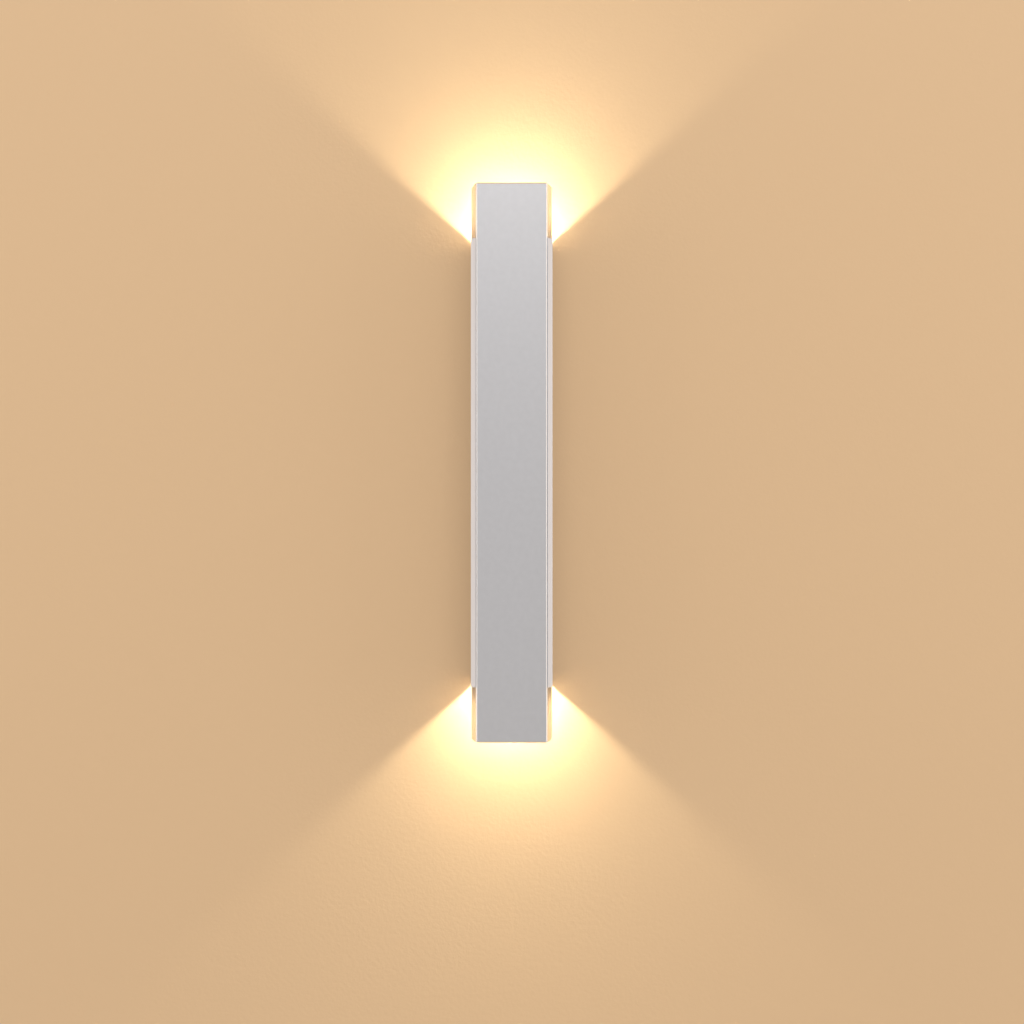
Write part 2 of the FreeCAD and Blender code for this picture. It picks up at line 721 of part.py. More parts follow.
def nut_strip(side, turned):
    """Tapped bar inside an ear; one bar takes both screws of its side."""
    body = new_body(f"{side}_nut_strip", turned)
    plan = sketch_on(body, "bar", "YZ_Plane", STRIP_OUT)
    reach = "dims.clamp_reach"
    rectangle(plan, at(f"{reach} + dims.strip_width / 2"), at(f"{reach} - dims.strip_width / 2"),
              *both_ways("dims.clamp_row + dims.strip_end"))
    pad(body, plan, "dims.strip_thickness", back=True)
    holes = sketch_on(body, "tapped", "YZ_Plane", STRIP_OUT)
    for row_side in SIDES:
        circle(holes, at(reach), f"{row_side} * dims.clamp_row", TAPPED)
    pocket(body, holes, "dims.strip_thickness")


def gear_tray():
    """Sheet that slides in the tube's grooves and carries the electrical gear."""
    body = new_body("gear_tray")
    plan = sketch_on(body, "sheet", "XZ_Plane", "dims.tray_reach")
    rectangle(plan, *both_ways(f"{INSIDE} - dims.slide_clearance"),
              *both_ways(TRAY_END))
    pad(body, plan, "dims.tray_thickness")
    holes = sketch_on(body, "holes", "XZ_Plane", TRAY_FRONT)
    for side in SIDES:
        circle(holes, "0", f"{side} * {FOOT_SCREW}", TAPPED)
        circle(holes, f"{side} * dims.pole_pitch", PEG_LEVEL,
               "dims.peg_diameter + 2 * dims.hole_clearance")
    circle(holes, "dims.earth_side", f"-{EARTH_LEVEL}",
           "dims.earth_screw + 2 * dims.thread_clearance")
    rectangle(holes, *gate_span())
    pocket(body, holes, "dims.tray_thickness")


def gate_span(inset="0"):
    """The opening in the tray where the mains leads cross it."""
    middle = "-dims.pole_pitch / 2"
    return (f"{middle} - dims.gate_width / 2 + ({inset})",
            f"{middle} + dims.gate_width / 2 - ({inset})",
            f"-{GATE_LEVEL} - dims.gate_height / 2 + ({inset})",
            f"-{GATE_LEVEL} + dims.gate_height / 2 - ({inset})")


def tray_edging():
    """Rubber edging with a groove that grips the rim of the tray's opening."""
    body = new_body("tray_edging")
    lip = "dims.gate_edging"
    layers = (("back_lip", f"(dims.tray_reach - {lip})", lip, f"-({lip})"),
              ("neck", "dims.tray_reach", "dims.tray_thickness", "dims.thread_clearance"),
              ("front_lip", TRAY_FRONT, lip, f"-({lip})"))
    for name, start, thickness, inset in layers:
        plan = sketch_on(body, name, "XZ_Plane", start)
        rectangle(plan, *gate_span(inset))
        rectangle(plan, *gate_span(lip))
        pad(body, plan, thickness)


# ---------------------------------------------------------------- lamps

def heat_sink(end, turned):
    """Extruded comb: a base under the lamp board, and fins that point inward."""
    body = new_body(f"{end}_heat_sink", turned)
    base = sketch_on(body, "base", "XZ_Plane", "dims.sink_back")
    rectangle(base, *both_ways(CLEAR_OF_RIBS), SINK_INNER, SINK_FACE)
    depth = f"{BAY_FRONT} - dims.sink_back"
    pad(body, base, depth)
    blade = sketch_on(body, "fin", "XZ_Plane", "dims.sink_back")
    rectangle(blade, f"-{CLEAR_OF_RIBS}", f"dims.fin_thickness - {CLEAR_OF_RIBS}",
              FIN_TIP, SINK_INNER)
    first = pad(body, blade, depth)
    fins = body.newObject("PartDesign::LinearPattern", f"{end}_fins")
    fins.Originals = [first]
    fins.Direction = (datum(body, "X_Axis"), [""])
    fins.setExpression("Length", f"2 * {CLEAR_OF_RIBS} - dims.fin_thickness")
    fins.setExpression("Occurrences", "dims.fin_count")
    body.Tip = fins
    doc.recompute()

    threads = sketch_on(body, "board_threads", "XY_Plane", SINK_FACE)
    passages = sketch_on(body, "lead_holes", "XY_Plane", SINK_FACE)
    for side in SIDES:
        circle(threads, f"{side} * {SCREW_GAP}", at(LAMP_LINE), TAPPED)
        circle(passages, f"{side} * {NEAR_GAP}", at(LEAD_HOLE_LINE), "dims.lead_hole")
    pocket(body, threads, "dims.sink_base")
    pocket(body, passages, "dims.sink_base")
    fixings = sketch_on(body, "frame_threads", "XZ_Plane", BAY_FRONT)
    for side in SIDES:
        circle(fixings, f"{side} * {SCREW_GAP}", SINK_SCREW, TAPPED)
    pocket(body, fixings, "dims.frame_screw_length")


def lamp_sheet(end, turned, name, back, thickness, lead_hole):
    """A rectangular layer on the heat sink, with its screw and lead holes."""
    body = new_body(f"{end}_{name}", turned)
    plan = sketch_on(body, "outline", "XY_Plane", back)
    rectangle(plan, *both_ways(BOARD_SIDE), at(f"{LAMP_LINE} + {BOARD_HALF_DEPTH}"),
              at(f"{LAMP_LINE} - {BOARD_HALF_DEPTH}"))
    for side in SIDES:
        circle(plan, f"{side} * {SCREW_GAP}", at(LAMP_LINE), SCREW_CLEARANCE)
        circle(plan, f"{side} * {NEAR_GAP}", at(LEAD_HOLE_LINE), lead_hole)
    pad(body, plan, thickness)


def emitter(end, turned):
    """Round light-emitting layer with a low dam around it."""
    body = new_body(f"{end}_led_emitter", turned)
    plan = sketch_on(body, "disc", "XY_Plane", BOARD_FACE)
    circle(plan, "0", at(LAMP_LINE), "dims.emitter_diameter")
    pad(body, plan, "dims.emitter_height")


def board_screws():
    """Pan head screws that hold both lamp boards down on their heat sinks."""
    body = new_body("board_screws")
    face = BOARD_FACE
    heads = sketch_on(body, "heads", "XY_Plane", face)
    shanks = sketch_on(body, "shanks", "XY_Plane", face)
    for side in SIDES:
        place = (f"{side} * {SCREW_GAP}", at(LAMP_LINE))
        circle(heads, *place, "dims.pan_head")
        circle(shanks, *place, "dims.screw_diameter")
    tops = pad(body, heads, "dims.pan_head_height")
    rods = pad(body, shanks, "dims.pan_screw_length", back=True)
    mirrored(body, [tops, rods], "XY_Plane")


def reflector(end, turned):
    """White moulding: a four-sided funnel, its flange, a rim and two screw bosses."""
    body = new_body(f"{end}_reflector", turned)
    funnel(body, "PartDesign::AdditiveWedge", "dims.mirror_wall")

    flange = sketch_on(body, "flange", "XY_Plane", FLANGE_BACK)
    rectangle(flange, *both_ways(CLEAR_OF_RIBS), at(FRAME_FRONT), at(FRAME_BACK))
    pad(body, flange, "dims.mirror_flange")
    rim = sketch_on(body, "rim", "XY_Plane", FLANGE_FACE)
    rectangle(rim, *both_ways(CLEAR_OF_RIBS), at(FRAME_FRONT), at(FRAME_BACK))
    rim_inner = f"{CLEAR_OF_RIBS} - dims.rim_width"
    rectangle(rim, *both_ways(rim_inner), at(f"{FRAME_FRONT} - dims.rim_width"),
              at(f"{FRAME_BACK} + dims.rim_width"))
    pad(body, rim, f"{WINDOW_FACE} - {FLANGE_FACE}")
    bosses = sketch_on(body, "bosses", "XZ_Plane", FRAME_FRONT)
    for side in SIDES:
        middle = f"{side} * {SCREW_GAP}"
        rectangle(bosses, f"{middle} - dims.boss_width / 2", f"{middle} + dims.boss_width / 2",
                  f"{BOSS_SCREW} - dims.boss_height / 2", FLANGE_BACK)
    pad(body, bosses, "dims.boss_height", back=True)
    threads = sketch_on(body, "threads", "XZ_Plane", FRAME_FRONT)
    for side in SIDES:
        circle(threads, f"{side} * {SCREW_GAP}", BOSS_SCREW, TAPPED)
    pocket(body, threads, "dims.frame_screw_length - dims.tube_wall")
    before = body.Shape.Volume
    removed_something(body, before, funnel(body, "PartDesign::SubtractiveWedge", "0"))


def funnel(body, kind, wall):
    """A four-sided taper from the mouth on the board to the wide end at the flange."""
    wedge = body.newObject(kind, f"{body.Label}_{kind[12:]}")
    wedge.AttachmentSupport = [(datum(body, "XZ_Plane"), "")]
    wedge.MapMode = "FlatFace"
    mouth = "dims.mirror_mouth / 2"
    spans = {
        "X": both_ways(f"{MOUTH_SIDE} + {wall}"),
        "X2": both_ways(f"{MIRROR_SIDE} + {wall}"),
        "Y": (BOARD_FACE, FLANGE_FACE),
        "Z": (f"{LAMP_LINE} - {mouth} - {wall}", f"{LAMP_LINE} + {mouth} + {wall}"),
        "Z2": (f"{LAMP_LINE} - {MIRROR_HALF_DEPTH} - {wall}",
               f"{LAMP_LINE} + {MIRROR_HALF_DEPTH} + {wall}"),
    }
    for side, (low, high) in spans.items():
        wedge.setExpression(f"{side}min", low)
        wedge.setExpression(f"{side}max", high)
    doc.recompute()
    return wedge


def window(end, turned):
    """Clear pane that closes the lamp, set down inside the reflector's rim."""
    body = new_body(f"{end}_window", turned)
    plan = sketch_on(body, "pane", "XY_Plane", WINDOW_SEAT)
    rectangle(plan, *both_ways(PANE_SIDE), at(PANE_FRONT), at(PANE_BACK))
    pad(body, plan, "dims.window_thickness")


def window_seal(end, turned):
    """Flat silicone frame between the pane and the reflector's flange."""
    body = new_body(f"{end}_window_seal", turned)
    plan = sketch_on(body, "frame", "XY_Plane", FLANGE_FACE)
    inset = "dims.seal_width"
    rectangle(plan, *both_ways(PANE_SIDE), at(PANE_FRONT), at(PANE_BACK))
    rectangle(plan, *both_ways(f"{PANE_SIDE} - {inset}"), at(f"{PANE_FRONT} - {inset}"),
              at(f"{PANE_BACK} + {inset}"))
    pad(body, plan, "dims.seal_thickness")


# ---------------------------------------------------------------- driver

def driver_base():
    """Moulded case, open to the front, on a foot at each end, with lead holes."""
    body = new_body("driver_base")
    outside = sketch_on(body, "case", "XZ_Plane", DRIVER_BACK)
    rectangle(outside, *both_ways(DRIVER_SIDE), *both_ways(DRIVER_END))
    pad(body, outside, span(DRIVER_BACK, LID_BACK))
    inside = sketch_on(body, "hollow", "XZ_Plane", LID_BACK)
    rectangle(inside, *both_ways(f"{DRIVER_SIDE} - dims.driver_wall"),
              *both_ways(f"{DRIVER_END} - dims.driver_wall"))
    pocket(body, inside, span(DRIVER_FLOOR, LID_BACK))

    feet = sketch_on(body, "feet", "XZ_Plane", TRAY_FRONT)
    for side in SIDES:
        edges = (f"{side} * {DRIVER_END}", f"{side} * ({DRIVER_END} + dims.foot_length)")
        rectangle(feet, *both_ways("dims.foot_width / 2"), *(edges if side > 0 else edges[::-1]))
    pad(body, feet, "dims.foot_sole")
    bolts = sketch_on(body, "foot_holes", "XZ_Plane", f"{TRAY_FRONT} + dims.foot_sole")
    for side in SIDES:
        circle(bolts, "0", f"{side} * {FOOT_SCREW}", SCREW_CLEARANCE)
    pocket(body, bolts, "dims.foot_sole")

    posts = sketch_on(body, "posts", "XZ_Plane", DRIVER_FLOOR)
    for x_side in SIDES:
        for z_side in SIDES:
            circle(posts, f"{x_side} * ({CIRCUIT_SIDE} - dims.post_side_inset)",
                   f"{z_side} * ({CIRCUIT_END} - dims.post_end_inset)", "dims.post_diameter")
    pad(body, posts, "dims.circuit_lift")

    hole = "dims.mains_lead + 2 * dims.hole_clearance"
    output = sketch_on(body, "output_holes", "XY_Plane", DRIVER_END)
    for side in SIDES:
        for x in ("dims.near_output", "dims.far_output"):
            circle(output, f"{side} * {x}", at(LEAD_LEVEL), hole)
    pocket(body, output, "dims.driver_wall")
    supply = sketch_on(body, "supply_holes", "XY_Plane", f"-{DRIVER_END}")
    for x in ("-dims.pole_pitch", "0"):
        circle(supply, x, at(LEAD_LEVEL), hole)
    pocket(body, supply, "dims.driver_wall", back=True)


def driver_lid():
    """Flat lid with a lip that drops inside the case."""
    body = new_body("driver_lid")
    plate = sketch_on(body, "plate", "XZ_Plane", LID_BACK)
    rectangle(plate, *both_ways(DRIVER_SIDE), *both_ways(DRIVER_END))
    pad(body, plate, "dims.driver_lid")
    lip = sketch_on(body, "lip", "XZ_Plane", LID_BACK)
    outer = "(dims.driver_wall + dims.hole_clearance)"
    for inset in (outer, f"({outer} + dims.lid_lip_wall)"):
        rectangle(lip, *both_ways(f"{DRIVER_SIDE} - {inset}"),
                  *both_ways(f"{DRIVER_END} - {inset}"))
    pad(body, lip, "dims.lid_lip", back=True)


def driver_parts():
    """Circuit board with its transformer, capacitors and two lead headers."""
    box("driver_circuit", both_ways(CIRCUIT_SIDE), (CIRCUIT_BACK, CIRCUIT_FACE),
        both_ways(CIRCUIT_END))
    nodes.append(doc.getObject("driver_circuit"))
    box("driver_transformer", both_ways("dims.core_width / 2"),
        (CIRCUIT_FACE, f"({LID_BACK} - dims.core_headroom)"),
        both_ways("dims.core_length / 2"))
    nodes.append(doc.getObject("driver_transformer"))

    cans = new_body("driver_capacitors")
    plan = sketch_on(cans, "ends", "XY_Plane", "-dims.core_length")
    for side in SIDES:
        circle(plan, f"{side} * ({CAPACITOR} + dims.capacitor_spacing) / 2",
               at(f"{CIRCUIT_FACE} + {CAPACITOR} / 2"), CAPACITOR)
    pad(cans, plan, "dims.capacitor_length", back=True)

    headers = new_body("driver_headers")
    for tag, end in (("output", 1), ("supply", -1)):
        plan = sketch_on(headers, tag, "XZ_Plane", CIRCUIT_FACE)
        levels = (f"{end} * {HEADER_FACE}", f"{end} * ({HEADER_FACE} - dims.header_length)")
        rectangle(plan, *both_ways(f"{CIRCUIT_SIDE} - dims.header_side_inset"),
                  *(levels if end < 0 else levels[::-1]))
        pad(headers, plan, span(CIRCUIT_FACE, f"{LEAD_LEVEL} + dims.header_cover"))


def tray_screws():
    """Pan head screws through the driver's feet into the tray."""
    body = new_body("tray_screws")
    seat = f"({TRAY_FRONT} + dims.foot_sole)"
    heads = sketch_on(body, "heads", "XZ_Plane", seat)
    shanks = sketch_on(body, "shanks", "XZ_Plane", seat)
    for side in SIDES:
        circle(heads, "0", f"{side} * {FOOT_SCREW}", "dims.pan_head")
        circle(shanks, "0", f"{side} * {FOOT_SCREW}", "dims.screw_diameter")
    pad(body, heads, "dims.pan_head_height")
    pad(body, shanks, "dims.pan_screw_length", back=True)


# ---------------------------------------------------------------- terminal block

def terminal_block():
    """Three-pole block on the back of the tray, with a well for each lever."""
    body = new_body("terminal_block")
    plan = sketch_on(body, "case", "XZ_Plane", BLOCK_BACK)
    rectangle(plan, *both_ways("dims.block_width / 2"), f"-{BLOCK_BOTTOM}", f"-{BLOCK_TOP}")
    pad(body, plan, "dims.block_height")
    wells = sketch_on(body, "wells", "XZ_Plane", BLOCK_BACK)
    tunnels = sketch_on(body, "tunnels", "XY_Plane", f"-{BLOCK_TOP}")
    for _, pole in POLES:
        middle = f"{pole} * dims.pole_pitch"
        half = "(dims.lever_width / 2 + dims.lever_clearance)"
        rectangle(wells, f"{middle} - {half}", f"{middle} + {half}",
                  f"-({PIVOT_LEVEL} + dims.lever_length + dims.slide_clearance)",
                  f"-({PIVOT_LEVEL} - dims.lever_thickness - dims.slide_clearance)")
        rectangle(tunnels, f"{middle} - dims.tunnel_width / 2", f"{middle} + dims.tunnel_width / 2",
                  at(TUNNEL_FRONT), at(TUNNEL_BACK))
    pocket(body, wells, "2 * dims.lever_thickness + dims.slide_clearance", back=True)
    pocket(body, tunnels, "dims.block_length")
    axle = sketch_on(body, "axle_hole", "YZ_Plane")
    circle(axle, at(PIVOT_REACH), f"-{PIVOT_LEVEL}", "dims.pin_diameter + 2 * dims.axle_clearance")
    pocket(body, axle, "dims.block_width + dims.cut_overshoot", symmetric=True)
    pegs = sketch_on(body, "pegs", "XZ_Plane", "dims.tray_reach")
    for side in SIDES:
        circle(pegs, f"{side} * dims.pole_pitch", PEG_LEVEL, "dims.peg_diameter")
    pad(body, pegs, "dims.tray_thickness + dims.peg_stand")


def terminal_pin():
    """One axle for the three levers, held in the block's cheeks."""
    body = new_body("lever_pin")
    plan = sketch_on(body, "axle", "YZ_Plane")
    circle(plan, at(PIVOT_REACH), f"-{PIVOT_LEVEL}", "dims.pin_diameter")
    pad(body, plan, "dims.block_width", symmetric=True)


def terminal_lever(name, pole):
    """Clamping lever: an eye on the axle and an arm flush with the block's back."""
    body = new_body(f"{name}_lever")
    body.setExpression("Placement.Base.x", f"{pole} * dims.pole_pitch")
    plan = sketch_on(body, "side", "YZ_Plane")
    lever_outline(plan)
    pad(body, plan, "dims.lever_width", symmetric=True)
    bore = sketch_on(body, "bore", "YZ_Plane")
    circle(bore, at(PIVOT_REACH), f"-{PIVOT_LEVEL}", "dims.pin_diameter + 2 * dims.pin_clearance")
    pocket(body, bore, "dims.lever_width + dims.cut_overshoot", symmetric=True)


def lever_outline(plan):
    """An eye about the axle that runs on into a straight arm, down to its tip."""
    eye = "dims.lever_thickness"
    y, z = at(PIVOT_REACH), f"-{PIVOT_LEVEL}"
    outer = f"{y} + {eye}"
    tip = f"{z} - dims.lever_length"
    shelf = f"{z} - {eye}"
    inner = at(f"{PIVOT_REACH} - dims.arm_relief")
    radius = number(eye)
    centre = Vector(number(y), number(z), 0)
    points = ((outer, z), (outer, tip), (inner, tip), (inner, shelf), (y, shelf))
    corners = [Vector(number(a), number(b), 0) for a, b in points]
    items = [plan.addGeometry(Part.LineSegment(corners[i], corners[i + 1]), False)
             for i in range(len(points) - 1)]
    arc = Part.ArcOfCircle(Part.Circle(centre, Vector(0, 0, 1), radius), 0, 1.5 * math.pi)
    loop = plan.addGeometry(arc, False)
    for one, other in zip(items, items[1:]):
        plan.addConstraint(Sketcher.Constraint("Coincident", one, 2, other, 1))
    plan.addConstraint(Sketcher.Constraint("Coincident", loop, 1, items[0], 1))
    plan.addConstraint(Sketcher.Constraint("Coincident", items[-1], 2, loop, 2))
    for item, point in zip(items, points):
        hold_point(plan, item, 1, point)
    hold_point(plan, items[-1], 2, points[-1])
    hold(plan, "DistanceX", (-1, 1, loop, 3), y)


def terminal_contacts():
    """Copper bars, one along each pole's tunnel."""
    body = new_body("terminal_contacts")
    plan = sketch_on(body, "bars", "XY_Plane", f"-{BLOCK_TOP} - dims.contact_inset")
    for _, pole in POLES:
        middle = f"{pole} * dims.pole_pitch"
        half = "(dims.tunnel_width / 2 - dims.thread_clearance)"
        rectangle(plan, f"{middle} - {half}", f"{middle} + {half}", at(TUNNEL_FRONT), at(CONTACT_FACE))
    pad(body, plan, "dims.block_length - 2 * dims.contact_inset", back=True)


# ---------------------------------------------------------------- leads and earth

def route(points):
    """Straight runs joined by tangent arcs, each as large as its two runs allow."""
    corners = [Vector(*point) for point in points]
    edges = []
    start = corners[0]
    radii = []
    for before, corner, after in zip(corners, corners[1:], corners[2:]):
        back, ahead = (before - corner), (after - corner)
        trim = 0.45 * min(back.Length, ahead.Length)
        back.normalize()
        ahead.normalize()
        half_turn = (math.pi - back.getAngle(ahead)) / 2
        radius = trim / math.tan(half_turn)
        radii.append(radius)
        enter, leave = corner + back * trim, corner + ahead * trim
        inward = back + ahead
        inward.normalize()
        middle = corner + inward * (radius / math.cos(half_turn) - radius)
        edges.append(Part.LineSegment(start, enter).toShape())
        edges.append(Part.Arc(enter, middle, leave).toShape())
        start = leave
    edges.append(Part.LineSegment(start, corners[-1]).toShape())
    return Part.Wire(edges), radii


def ring_corners(radius, centre, heading):
    """A closed ring of corners about a point, square to the heading."""
    across = heading.cross(Vector(1, 0, 0)).normalize()
    beside = heading.cross(across).normalize()
    turns = [2 * math.pi * index / LEAD_SIDES for index in range(LEAD_SIDES)]
    corners = [centre + (across * math.cos(turn) + beside * math.sin(turn)) * radius
               for turn in turns]
    return corners + corners[:1]


def lead(label, diameter, points):
    """An insulated lead of a few flats along its route."""
    values = [(number(x), -number(reach), number(z)) for x, reach, z in points]
    wire, radii = route(values)
    radius = number(diameter) / 2
    start = Vector(*values[0])
    heading = Vector(*values[1]) - start
    ring = Part.makePolygon(ring_corners(radius, start, heading))
    shape = wire.makePipeShell([ring], True, False)
    expected = LEAD_SIDES / 2 * radius ** 2 * math.sin(2 * math.pi / LEAD_SIDES) * wire.Length
    if abs(shape.Volume / expected - 1) > 0.01:
        raise RuntimeError(f"{label}: volume {shape.Volume:.1f}, expected {expected:.1f}")
    item = doc.addObject("Part::Feature", label)
    item.Label = label
    item.Shape = shape
    item.Placement = Placement()
    nodes.append(item)
    print(f"{label}: smallest bend {min(radii):.1f} mm")


def lamp_leads():
    """Two leads up to the upper lamp, and two round and down to the lower lamp."""
    for polarity, side in (("positive", -1), ("negative", 1)):
        near_x, far_x = f"{side} * dims.near_output", f"{side} * dims.far_output"
        gap_x, edge_x = f"{side} * {NEAR_GAP}", f"{side} * {FAR_GAP}"
        lead(f"upper_{polarity}_lead", "dims.lamp_lead", (
            (near_x, LEAD_LEVEL, HEADER_FACE),
            (near_x, LEAD_LEVEL, f"{DRIVER_END} + dims.upper_bend_start"),
            (gap_x, LEAD_HOLE_LINE, f"{DRIVER_END} + dims.upper_bend_end"),
            (gap_x, LEAD_HOLE_LINE, LEAD_TIP)))
        lead(f"lower_{polarity}_lead", "dims.lamp_lead", (
            (far_x, LEAD_LEVEL, HEADER_FACE),
            (far_x, LEAD_LEVEL, f"{DRIVER_END} + dims.lower_turn"),
            (edge_x, LEAD_LEVEL, f"{DRIVER_END} + dims.lower_turn"),
            (edge_x, LEAD_LEVEL, f"-({DRIVER_END} + dims.lower_bend_start)"),
            (gap_x, LEAD_HOLE_LINE, f"-({DRIVER_END} + dims.lower_bend_end)"),
            (gap_x, LEAD_HOLE_LINE, f"-{LEAD_TIP}")))


def mains_leads():
    """Leads from the block: two through the tray to the driver, one to the earth tag."""
    bend = f"-{GATE_LEVEL} - dims.supply_bend"
    inside = f"-({BLOCK_BOTTOM} - dims.block_wire_seat)"
    for name, x in (("live", "-dims.pole_pitch"), ("neutral", "0")):
        lead(f"{name}_lead", "dims.mains_lead", (
            (x, LEAD_LINE, inside),
            (x, LEAD_LINE, bend),
            (x, LEAD_LEVEL, bend),
            (x, LEAD_LEVEL, f"-{HEADER_FACE}")))
    tag_line = "(dims.tray_reach - dims.mains_lead / 2 - dims.tag_thickness)"
    lead("earth_lead", "dims.mains_lead", (
        ("dims.pole_pitch", LEAD_LINE, inside),
        ("dims.pole_pitch", LEAD_LINE, f"-({BLOCK_BOTTOM} + dims.earth_bend_start)"),
        ("dims.earth_side", tag_line, f"-({BLOCK_BOTTOM} + dims.earth_bend_end)"),
        ("dims.earth_side", tag_line, f"-({EARTH_LEVEL} - dims.tag_wire_seat)")))


def lead_clips():
    """Saddles on the driver's flanks that hold the two long leads."""
    body = new_body("lead_clips")
    near_x = DRIVER_SIDE
    far_x = f"{FAR_GAP} + dims.lamp_lead / 2 + dims.clip_wall"
    half = "(dims.lamp_lead / 2 + dims.clip_wall)"
    low, high = at(f"{LEAD_LEVEL} + {half}"), at(f"{LEAD_LEVEL} - {half}")
    for side in SIDES:
        left, right = (near_x, far_x) if side > 0 else (f"-({far_x})", f"-({near_x})")
        for row_side in SIDES:
            tag = f"{'right' if side > 0 else 'left'}_{'top' if row_side > 0 else 'foot'}"
            start = f"{row_side} * dims.clip_row - dims.clip_length / 2"
            plan = sketch_on(body, tag, "XY_Plane", start)
            rectangle(plan, left, right, low, high)
            circle(plan, f"{side} * {FAR_GAP}", at(LEAD_LEVEL),
                   "dims.lamp_lead + 2 * dims.hole_clearance")
            pad(body, plan, "dims.clip_length")


def earth_tag():
    """Ring tag flat on the tray, with a barrel round the end of the earth lead."""
    body = new_body("earth_tag")
    ring = sketch_on(body, "ring", "XZ_Plane", "dims.tray_reach")
    place = ("dims.earth_side", f"-{EARTH_LEVEL}")
    circle(ring, *place, "dims.earth_ring")
    circle(ring, *place, "dims.earth_screw + 2 * dims.hole_clearance")
    pad(body, ring, "dims.tag_thickness", back=True)
    tongue = sketch_on(body, "tongue", "XZ_Plane", "dims.tray_reach")
    start = f"-({EARTH_LEVEL} - dims.earth_ring / 2 + dims.tongue_overlap)"
    rectangle(tongue, "dims.earth_side - dims.tongue_width / 2",
              "dims.earth_side + dims.tongue_width / 2",
              start, f"-({EARTH_LEVEL} - dims.tongue_length)")
    pad(body, tongue, "dims.tag_thickness", back=True)


def earth_screw():
    """Pan head screw that clamps the tag to the tray."""
    body = new_body("earth_screw")
    seat = "(dims.tray_reach - dims.tag_thickness)"
    place = ("dims.earth_side", f"-{EARTH_LEVEL}")
    head = sketch_on(body, "head", "XZ_Plane", seat)
    circle(head, *place, "dims.earth_head")
    pad(body, head, "dims.pan_head_height", back=True)
    shank = sketch_on(body, "shank", "XZ_Plane", seat)
    circle(shank, *place, "dims.earth_screw")
    pad(body, shank, "dims.pan_screw_length")


# ---------------------------------------------------------------- assembly

def lamp(end, turned):
    heat_sink(end, turned)
    lamp_sheet(end, turned, "thermal_pad", SINK_FACE, "dims.pad_thickness", "dims.lead_hole")
    lamp_sheet(end, turned, "led_board", BOARD_BACK, "dims.board_thickness",
               "dims.lamp_lead + 2 * dims.thread_clearance")
    emitter(end, turned)
    reflector(end, turned)
    window_seal(end, turned)
    window(end, turned)


def build():
    wall_bracket()
    cable_grommet()
    housing_tube()
    front_plate()
    stud_nuts()
    clamp_screws()
    frame_screws()
    nut_strip("right", 0)
    nut_strip("left", 180)
    gear_tray()
    tray_edging()
    for end, turned in ENDS:
        glare_hood(end, turned)
        lamp(end, turned)
    board_screws()
    driver_base()
    driver_lid()
    driver_parts()
    tray_screws()
    terminal_block()
    terminal_pin()
    for name, pole in POLES:
        terminal_lever(name, pole)
    terminal_contacts()
    lamp_leads()
    mains_leads()
    lead_clips()
    earth_tag()
    earth_screw()
    doc.recompute()


def check():
    """Stops if any object failed or any piece is missing or not valid."""
    for item in doc.Objects:
        if "Invalid" in item.State or "Error" in item.State:
            raise RuntimeError(f"{item.Name} failed: {item.State}")
    for piece in nodes:
        if piece.Shape.isNull() or not piece.Shape.isValid() or not piece.Shape.Solids:
            raise RuntimeError(f"{piece.Label} has no valid solid")


def export():
    os.makedirs("parts", exist_ok=True)
    for piece in nodes:
        piece.Shape.exportStep(f"parts/{piece.Label}.step")


build()
check()
export()
print(f"{len(nodes)} pieces written")
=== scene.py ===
# %% [markdown]
# # A slim up-and-down wall light
# The light is a satin aluminium tube on a wall, with a long front plate and an open
# glare hood at each end. The solid model gives every piece its size and place. Here
# each surface gets its finish, and the small turned and pressed details are added.

# %% Load the solid model
import math

import bmesh
import bpy
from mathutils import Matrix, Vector


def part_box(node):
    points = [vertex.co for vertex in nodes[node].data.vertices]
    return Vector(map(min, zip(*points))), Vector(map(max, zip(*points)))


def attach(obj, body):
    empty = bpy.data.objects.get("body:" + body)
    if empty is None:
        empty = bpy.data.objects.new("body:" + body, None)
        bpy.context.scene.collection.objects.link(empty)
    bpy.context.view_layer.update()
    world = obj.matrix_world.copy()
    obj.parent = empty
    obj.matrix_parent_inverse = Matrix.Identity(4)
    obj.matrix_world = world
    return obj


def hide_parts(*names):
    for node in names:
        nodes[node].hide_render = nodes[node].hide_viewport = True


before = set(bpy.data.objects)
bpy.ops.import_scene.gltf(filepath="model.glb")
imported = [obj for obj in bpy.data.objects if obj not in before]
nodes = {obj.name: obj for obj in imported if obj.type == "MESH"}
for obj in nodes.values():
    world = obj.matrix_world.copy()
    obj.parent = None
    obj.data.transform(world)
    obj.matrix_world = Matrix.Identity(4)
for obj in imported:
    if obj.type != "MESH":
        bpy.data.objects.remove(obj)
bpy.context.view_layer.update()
MM = 0.001

# %% [markdown]
# ## Two helpers for every material
# A colour listed here is an sRGB value, but a shader works in linear light, so one
# function turns hex to linear. The other adds a node, sets it and wires its inputs:
# that keeps each finish below readable as a short recipe.

# %% Colour and node helpers
def linear(hex_colour):
    """An sRGB hex colour as a linear RGBA tuple. The numbers are the sRGB curve's."""
    parts = [int(hex_colour[i:i + 2], 16) / 255 for i in (1, 3, 5)]
    turned = [p / 12.92 if p <= 0.04045 else ((p + 0.055) / 1.055) ** 2.4 for p in parts]
    return (*turned, 1.0)


def add_node(tree, kind, inputs=None, **settings):
    """Adds a node; an input is given a value, or another node's output to link."""
    node = tree.nodes.new(kind)
    for name, value in settings.items():
        setattr(node, name, value)
    for name, value in (inputs or {}).items():
        if isinstance(value, bpy.types.NodeSocket):
            tree.links.new(value, node.inputs[name])
        else:
            node.inputs[name].default_value = value
    return node


